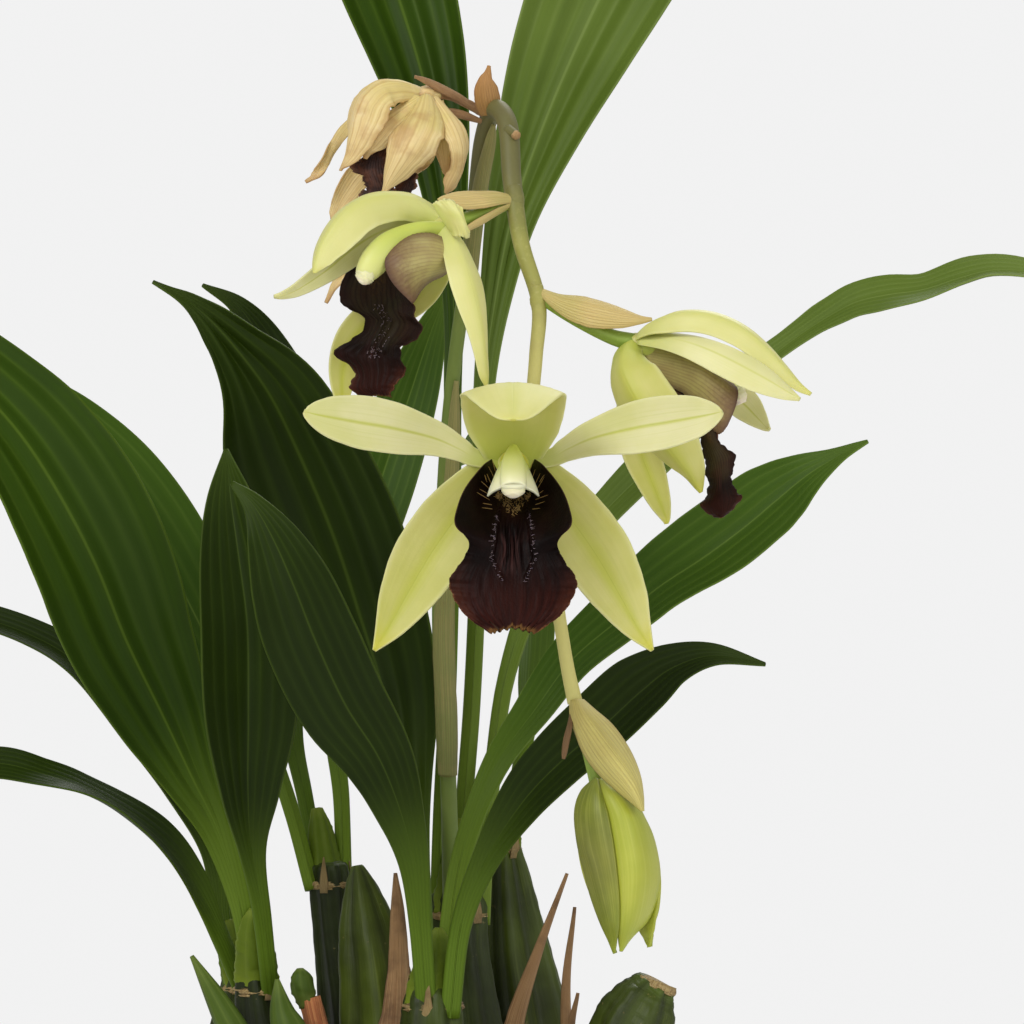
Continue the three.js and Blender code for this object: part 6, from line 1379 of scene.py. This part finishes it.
def addFlowers(bract):
    column = columnPaint("column", (200, 208, 92), (242, 238, 196), (240, 238, 200))
    sideColumn = columnPaint("side_column", (196, 206, 92), (226, 226, 142), (234, 232, 170))
    skins = {"tepals": tepalPaint("sepal", 0.42, (194, 192, 96), (208, 203, 122)),
             "petals": tepalPaint("petal", 0.1, (206, 204, 134), (218, 213, 158)),
             "lip": lipPaint(), "sideLobes": earPaint(),
             "fringe": dryPaint("keel_fringe", (206, 184, 190), (160, 134, 142), (110, 84, 90)),
             "hairs": dryPaint("gold_hairs", (222, 184, 110), (190, 148, 74), (140, 102, 44)),
             "cap": columnPaint("anther_cap", (234, 230, 176), (246, 230, 204), (240, 230, 196))}
    ovary = ovaryPaint("ovary", (146, 170, 62), (112, 136, 44), (168, 182, 96))
    for k, (name, flower) in enumerate(flowers.items()):
        start, front = name + "_flower_", name == "front"
        place = Matrix.Translation(flower.get("at", (0, 0, 0)))
        parts = frontParts() if front else sideParts(flower, k)
        skins["column"] = column if front else sideColumn
        for key, ending, slot, node in (
                ("tepals", "tepals_fine", "tepal", "tepals"), ("petals", "petals_fine", "tepal", None),
                ("lip", "lip_keeled", "lip", "lip"), ("sideLobes", "lip_side_lobes", "lip", None),
                ("fringe", "keel_fringe", "lip", None), ("hairs", "lip_hairs", "lip", None),
                ("column", "column_winged", "column", "column"), ("cap", "anther_cap", "column", None)):
            if parts[key]:
                placed = [moved(part, place) for part in parts[key]]
                addPiece(start + ending, placed, skins[key], [start + node] if node else ())
        stalk = stem(flower["stalk"], sides=30, long=40, ridges=0.1, ridgeCount=6)
        addPiece(start + "ovary_ribbed", [stalk], ovary, [start + "ovary"])
        if "bracts" in flower:
            scales = [blade(**{**bractLook, **spec, "seed": 560 + 5 * k + j})
                      for j, spec in enumerate(flower["bracts"])]
            addPiece(start + "bract_dry", scales, bract, [start + "bract"])
    return ovary


def sideHairs(rows, count, seed):  # pale tufts along the middle of a side flower's lip
    random, made = np.random.RandomState(seed), []
    for _ in range(count):
        row = along(rows, np.array([random.uniform(0.26, 0.64)]))[0]
        at = row[3:6] + (row[6:9] - row[0:3]) / 2 * random.uniform(-0.22, 0.22) + np.array([0, -0.9, 0])
        way = unit(np.array([random.uniform(-0.6, 0.6), -1, random.uniform(-0.6, 0.4)]))
        made.append(hair(random, at, way, random.uniform(0.5, 1.1), random.uniform(0.05, 0.08)))
    return made


# Bud

budStalk = [[25.7, -64, 194.2, 1.1], [27, -64, 188.9, 1.25], [28.2, -64, 185, 1.35], [29.3, -64, 180.4, 1.4]]
budBody = [[29.3, -64, 181, 0.8], [30.6, -64.2, 178.8, 3.2], [32.2, -64.5, 173.6, 5.3], [33, -64.5, 167.7, 5.6],
  [33.4, -64.5, 163.2, 4.6], [33.2, -64.5, 159.4, 2.4], [33.1, -64.5, 157.4, 0.4]]
budSepals = [
  [[28.9, -66, 181.4, 29.1, -67, 181.5, 29.4, -67.5, 181.3], [26.6, -64, 179.3, 28, -68.8, 179.4, 30, -70, 179],
    [25.5, -63, 175.7, 27.3, -69.8, 175.9, 30.9, -71.5, 175.8],
    [25.9, -62.5, 170.6, 27.8, -70.2, 171, 31.8, -72, 171.1],
    [27, -62.5, 165.9, 29, -70, 166.5, 32.4, -72, 166.4],
    [28.2, -62.5, 161.4, 30.1, -69.6, 162, 32.8, -71.4, 161.9],
    [29.8, -63, 157, 31.2, -68.6, 157.5, 32.8, -70, 157.6],
    [31.3, -64.4, 153.9, 31.9, -66.4, 154, 32.5, -67, 154.2],
    [32.1, -65, 152.2, 32.2, -65.3, 152.2, 32.3, -65.5, 152.2]],
  [[29.1, -66.5, 181, 30.2, -67, 181.3, 31.6, -66.5, 180.6],
    [29.6, -69, 178.6, 32.4, -70.2, 179, 35.5, -67, 177.4],
    [30.6, -70.4, 175.4, 34.5, -71.6, 175.5, 38, -65, 173.3],
    [31.5, -71, 170.7, 35.8, -72, 170.5, 39.3, -63, 169.3],
    [32.1, -71, 166, 36.4, -71.8, 166.1, 39.9, -62.5, 164.8],
    [32.5, -70.4, 161.8, 36.1, -71, 161.9, 39.4, -62.5, 160.8],
    [32.5, -69, 157.5, 35.3, -69.4, 157.9, 37.7, -63.5, 157.3],
    [32.8, -66.6, 154.2, 33.9, -67, 154.4, 34.9, -65.4, 154.8],
    [33.1, -65.6, 152.7, 33.25, -65.8, 152.7, 33.4, -65.6, 152.8]],
  [[38.4, -60.6, 168.6, 38.7, -61, 168.4, 38.8, -61.8, 168],
    [37.4, -60, 165.4, 38.9, -61, 165.4, 39.6, -62.8, 164.8],
    [36.6, -60, 160.6, 38.5, -62, 160.8, 39.5, -63.5, 160.6],
    [36.3, -61, 156.2, 37.9, -63, 156.1, 39, -63.5, 156.5],
    [37.2, -62, 154.3, 37.9, -63, 154.3, 38.6, -63.5, 154.8],
    [37.7, -63, 153.1, 38, -63.2, 153, 38.2, -63.4, 153.2]],
  [[25.8, -62, 174, 31, -57, 175, 36.8, -59.6, 174.5], [27, -62, 166, 33, -56.6, 166, 38.8, -61, 165],
    [29.4, -62.6, 160, 33.4, -58.6, 160, 37.6, -62, 160],
    [32.6, -62.8, 157.8, 33.8, -61, 157.6, 35.2, -62.4, 157.8]],
]
budBract = [[24.7, -64, 194.4, 25.7, -66, 194.6, 27, -64, 194.5],
  [24.8, -65, 191.7, 26.6, -69, 192.2, 28.9, -66, 192.9],
  [25.6, -66.5, 189, 28.5, -71, 189.3, 31.6, -67, 190.6],
  [27, -67, 185.6, 30.7, -73, 186.3, 33.8, -67.5, 187.7],
  [29.2, -68, 182.6, 32.8, -74, 183.6, 35.4, -68, 184.7],
  [31.6, -70, 180.4, 34.5, -74, 181.3, 36.4, -69, 181.7],
  [34.1, -71.5, 178.4, 35.8, -73.4, 178.9, 36.8, -70, 178.7],
  [36.2, -72, 176.7, 36.6, -72.4, 176.5, 36.8, -71.6, 176.4]]
budScale = {"faces": [[0.6, 0.8, 0]], "cup": 0.4, "spine": [[24.9, -65.5, 192.1, 0.4], [24.5, -67, 189.9, 0.6],
  [24, -67.4, 187.7, 0.65], [23.7, -67.4, 185.7, 0.5], [23.6, -67.4, 184.8, 0.25]]}


def budPaint():
    paint = Paint("bud")
    side, length = paint.across, paint.length
    streaks, patches = paint.noise((18, 1.1, 1), 1.2, 3), paint.bodyNoise(75, 3)
    sparkle, shade = paint.bodyNoise(2600, 1), paint.back
    color = paint.coats(
        (182, 186, 66), ((166, 174, 52), patches.between(0.3, 0.7)),
        ((104, 114, 22), shade * (0.66 + 0.34 * patches.between(0.4, 0.7))),
        ((206, 208, 104), streaks.between(0.4, 0.75) * 0.3),
        ((120, 108, 56), shade * (1 - (length - 0.45).size().between(0.0, 0.3)) * 0.3),
        ((182, 184, 88), side.size().between(0.93, 1.0) * 0.5),
        ((128, 140, 66), length.fading(0.0, 0.2) * 0.4),
        ((156, 172, 44), length.between(0.6, 1.0) * 0.5))
    return paint.finish(color, 0.4 + 0.15 * sparkle, streaks + sparkle * 0.25, (0.2, 0.0002),
                        **softLight(0.0014, 0.14))


def addBud(ovary):
    marks = ((1, 1), (0, 0), (0, 0), (0.5, 0.5))
    parts = [stem(budBody, sides=48, long=60)]
    parts += [lobe(rows, thick=0.6, rim=0.5, seed=700 + k, marks=marks[k], tuck=0.15)
              for k, rows in enumerate(budSepals)]
    addPiece("bud_closed", parts, budPaint(), ["bud"])
    stalk = stem(budStalk, sides=30, long=30, ridges=0.1, ridgeCount=6)
    addPiece("bud_ovary_ribbed", [stalk], ovary, ["bud_ovary"])
    khaki = bractPaint("bud_bract", (218, 206, 122), (196, 182, 100), (160, 132, 76), (178, 158, 88))
    boat = lobe(budBract, thick=0.5, rim=0.3, seed=720)
    addPiece("bud_bract_boat", [boat], khaki, ["bud_bract"])
    brown = bractPaint("scale_brown", (134, 100, 60), (104, 76, 44), (76, 50, 30), (104, 82, 46))
    addPiece("bud_scale_dry", [blade(**{**bractLook, **budScale})], brown, ["bud_scale"])


# Wilted flower

wiltedStalk = [[11, -51, 293.8, 1.1], [9, -51, 294.8, 0.9], [6.8, -51.5, 295.9, 0.85], [4.6, -52, 296.9, 0.9],
  [2.4, -52.5, 297.3, 1.1], [0.6, -53, 297.3, 1.3]]
wiltedTepals = [
  {"faces": [[0.3, 0.7, -0.6], [0.6, 0.7, -0.3], [0.9, 0.4, 0]], "cup": 0.6, "fold": 14,
    "spine": [[0.9, -53, 297.4, 1.2], [-1.6, -55, 298.2, 2.5], [-4.5, -57, 298.7, 4], [-7.4, -58.5, 298.2, 5],
    [-9.8, -59.5, 296, 5.4], [-11.1, -60, 292.9, 4.9], [-11.9, -60, 289.6, 4], [-12.8, -59.5, 286.3, 2.4],
    [-13.7, -59, 284.3, 1], [-14, -59, 283.6, 0.3]]},
  {"faces": [[0.5, -0.5, 0.6]], "cup": 0.5, "spine": [[0, -51, 297.6, 1], [-8.1, -49, 295.4, 1.2],
    [-12.9, -49, 292, 1.1], [-15.7, -49.5, 288.3, 0.9], [-17.2, -50, 285.4, 0.9], [-18.7, -50, 283.4, 0.8],
    [-20.3, -50, 282.4, 0.3]]},
  {"faces": [[0.3, 0.9, -0.2]], "cup": 0.7, "spine": [[-0.5, -56, 296.2, 1.3], [-4.1, -58, 293.4, 2.3],
    [-7.1, -59, 290.8, 2.8], [-9.1, -59.4, 287.8, 1.9], [-9.8, -59.2, 285.6, 0.3]]},
  {"faces": [[0.1, 0.9, -0.3], [0.2, 1, 0]], "cup": 0.6, "fold": 14, "spine": [[0.4, -55.6, 296.8, 1.6],
    [0, -59, 294.1, 3.9], [-0.9, -61.5, 291.3, 5.3], [-2.2, -62.5, 288.3, 5], [-3.7, -62.5, 285.3, 3.6],
    [-5.3, -62, 282.5, 2.1], [-6.4, -61.4, 280.3, 0.7], [-6.7, -61.2, 279.5, 0.3]]},
  {"faces": [[-0.4, 0.9, 0], [-0.8, 0.5, 0]], "cup": 0.6, "fold": 6, "spine": [[1.5, -54, 296.9, 1.2],
    [3.9, -57, 293.5, 2], [5.6, -59, 290.4, 2.4], [6.5, -60, 287, 2.4], [6.2, -59.6, 283.7, 2],
    [4.9, -59, 281.2, 1.4], [3.8, -58.5, 279.8, 0.4]]},
  {"faces": [[0.2, -1, 0]], "cup": 0.4, "spine": [[2.2, -53, 295.9, 1.2], [2.8, -54, 292.3, 2],
    [3.1, -55, 288.5, 1.9], [3.6, -55.4, 285.2, 1], [4, -55.6, 282.8, 0.3]]},
  {"faces": [[0.2, -0.9, 0.2]], "cup": 0.5, "spine": [[-2, -51.4, 293.5, 1], [-4.2, -50, 289.6, 1.6],
    [-7.3, -50, 286.4, 2], [-11.1, -50, 283.4, 2.3], [-13.3, -50.5, 280.4, 2], [-14.9, -51, 277.4, 1.3],
    [-15.5, -51, 275.5, 0.4]]},
  {"faces": [[0, -1, 0.1]], "cup": 0.4, "spine": [[1.2, -52, 293.5, 1.1], [0.5, -51, 288.5, 1.8],
    [-0.4, -51, 285.9, 1.6], [-1.6, -51, 283.7, 0.3]]},
  {"faces": [[-0.4, -0.9, 0]], "cup": 0.8, "spine": [[-6, -51.4, 284, 1.1], [-8, -50.6, 276, 1.3],
    [-10.7, -50, 270.1, 1.3], [-12.8, -50, 267.2, 1.2], [-15.2, -50, 264.6, 0.9], [-16.8, -50, 261.7, 0.3]]},
]
wiltedScales = [
  {"faces": [[0, 0.9, -0.4]], "cup": 1.0, "spine": [[9.4, -51.4, 294.3, 0.5], [6.1, -52.6, 296.6, 0.85],
    [2.8, -54.4, 298.2, 0.9], [0.2, -55.4, 299.3, 0.6], [-1.5, -56, 299.8, 0.2]]},
  {"faces": [[0, 0.9, 0.4]], "cup": 0.9, "spine": [[9.8, -51, 292.6, 0.4], [6.8, -52, 293.5, 0.8],
    [4.6, -53, 294, 0.7], [2.9, -53.5, 294.3, 0.3]]},
]
wiltedLip = [
  [[-7, -55.5, 290.5, -5, -56.5, 290.8, -3, -56, 290.5], [-9.7, -56.5, 286.9, -8, -57.5, 287, -6.2, -57, 286.7],
    [-12.1, -56.5, 284.4, -8.9, -58.5, 284, -6, -58, 283.9],
    [-9.9, -56.5, 282.5, -8.2, -59, 282, -5.5, -58, 281.7],
    [-9.9, -56.5, 280.7, -7.8, -59, 280.1, -5, -58, 279.8],
    [-11.5, -57, 278.4, -8.9, -58, 277.9, -6.6, -57, 277.7]],
  [[-5, -55.5, 288, -3.5, -56, 288, -2, -56, 288], [-3.3, -57, 283.8, -2.3, -57.5, 283.8, -1.4, -57, 284],
    [-4.2, -57, 281.9, -2.7, -58.5, 281.6, -1.1, -58, 282.5],
    [-5.3, -57, 280.3, -3.6, -58.8, 279.9, -1.6, -58, 280.6],
    [-6, -57, 279.2, -4.1, -58, 278.7, -2.7, -57.6, 279.6]],
]


def wiltedPaint():
    paint = Paint("wilted_petal")
    side, length = paint.across.size(), paint.length
    fibres, patches = paint.noise((20, 1.0, 1), 1.2, 4), paint.bodyNoise(110, 4)
    veins = side.wave(4) ** 6 * fibres.between(0.3, 0.6)
    color = paint.coats(
        (236, 212, 154), ((218, 186, 122), fibres.between(0.3, 0.7)),
        ((204, 190, 104), patches.between(0.42, 0.66) * 0.5 * length.fading(0.2, 0.8)),
        ((164, 118, 70), veins * 0.28 + (side + (patches - 0.5) * 0.3).between(0.78, 1.0) * 0.4),
        ((168, 118, 72), (length + (patches - 0.5) * 0.5).between(0.72, 1.05) * 0.6),
        ((242, 226, 182), paint.bodyNoise(240, 3).between(0.52, 0.8) * 0.4),
        ((176, 128, 78), paint.bodyNoise(170, 4).between(0.54, 0.76) * 0.5))
    return paint.finish(color, 0.55 + 0.2 * fibres, veins * 0.6 + fibres, (0.3, 0.0002),
                        **softLight(0.0014, 0.15))


def wiltedLipPaint():
    paint = Paint("wilted_lip")
    crumple, grain = paint.bodyNoise(420, 5), paint.bodyNoise(1600, 2)
    color = paint.coats(
        (48, 22, 14), ((96, 52, 30), crumple.between(0.42, 0.7)),
        ((150, 100, 58), paint.across.size().between(0.7, 1.0) * 0.7 * crumple))
    return paint.finish(color, 0.6 + 0.2 * grain, crumple + grain * 0.4, (0.6, 0.0005))


wiltedHub = [[2.6, -52.6, 297.2, 1], [0.6, -53.4, 297, 1.6], [-0.8, -54.4, 296.2, 1.1]]
wiltedLook = {"thick": 0.45, "rim": 0.25, "wave": [0.6, 1.7], "crinkle": 0.08, "fine": 0.035, "fineCount": 4,
              "ragged": 0.08}


def addWilted():
    parts = [stem(wiltedHub, sides=20, long=10, lumps=0.08)]
    parts += tepals([{**wiltedLook, **spec} for spec in wiltedTepals], 580, 3)
    addPiece("wilted_flower_tepals_papery", parts, wiltedPaint(), ["wilted_flower_tepals"])
    crumpled = [lobe(rows, thick=0.5, ruffle=0.8, ragged=0.4, pace=4, fine=0.25, seed=620 + k)
                for k, rows in enumerate(wiltedLip)]
    addPiece("wilted_flower_lip_crumpled", crumpled, wiltedLipPaint(), ["wilted_flower_lip"])
    parts = [stem(wiltedStalk, sides=22, long=30, ridges=0.16, ridgeCount=6, lumps=0.05)]
    parts += [blade(**{**bractLook, **spec, "seed": 630 + k}) for k, spec in enumerate(wiltedScales)]
    dry = dryPaint("wilted_stalk", (198, 160, 112), (166, 122, 80), (118, 82, 50))
    addPiece("wilted_flower_stalk_dry", parts, dry, ["wilted_flower_stalk"])


dryBract = addFlowerStem()
addBud(addFlowers(dryBract))
addWilted()
print("flowers done")
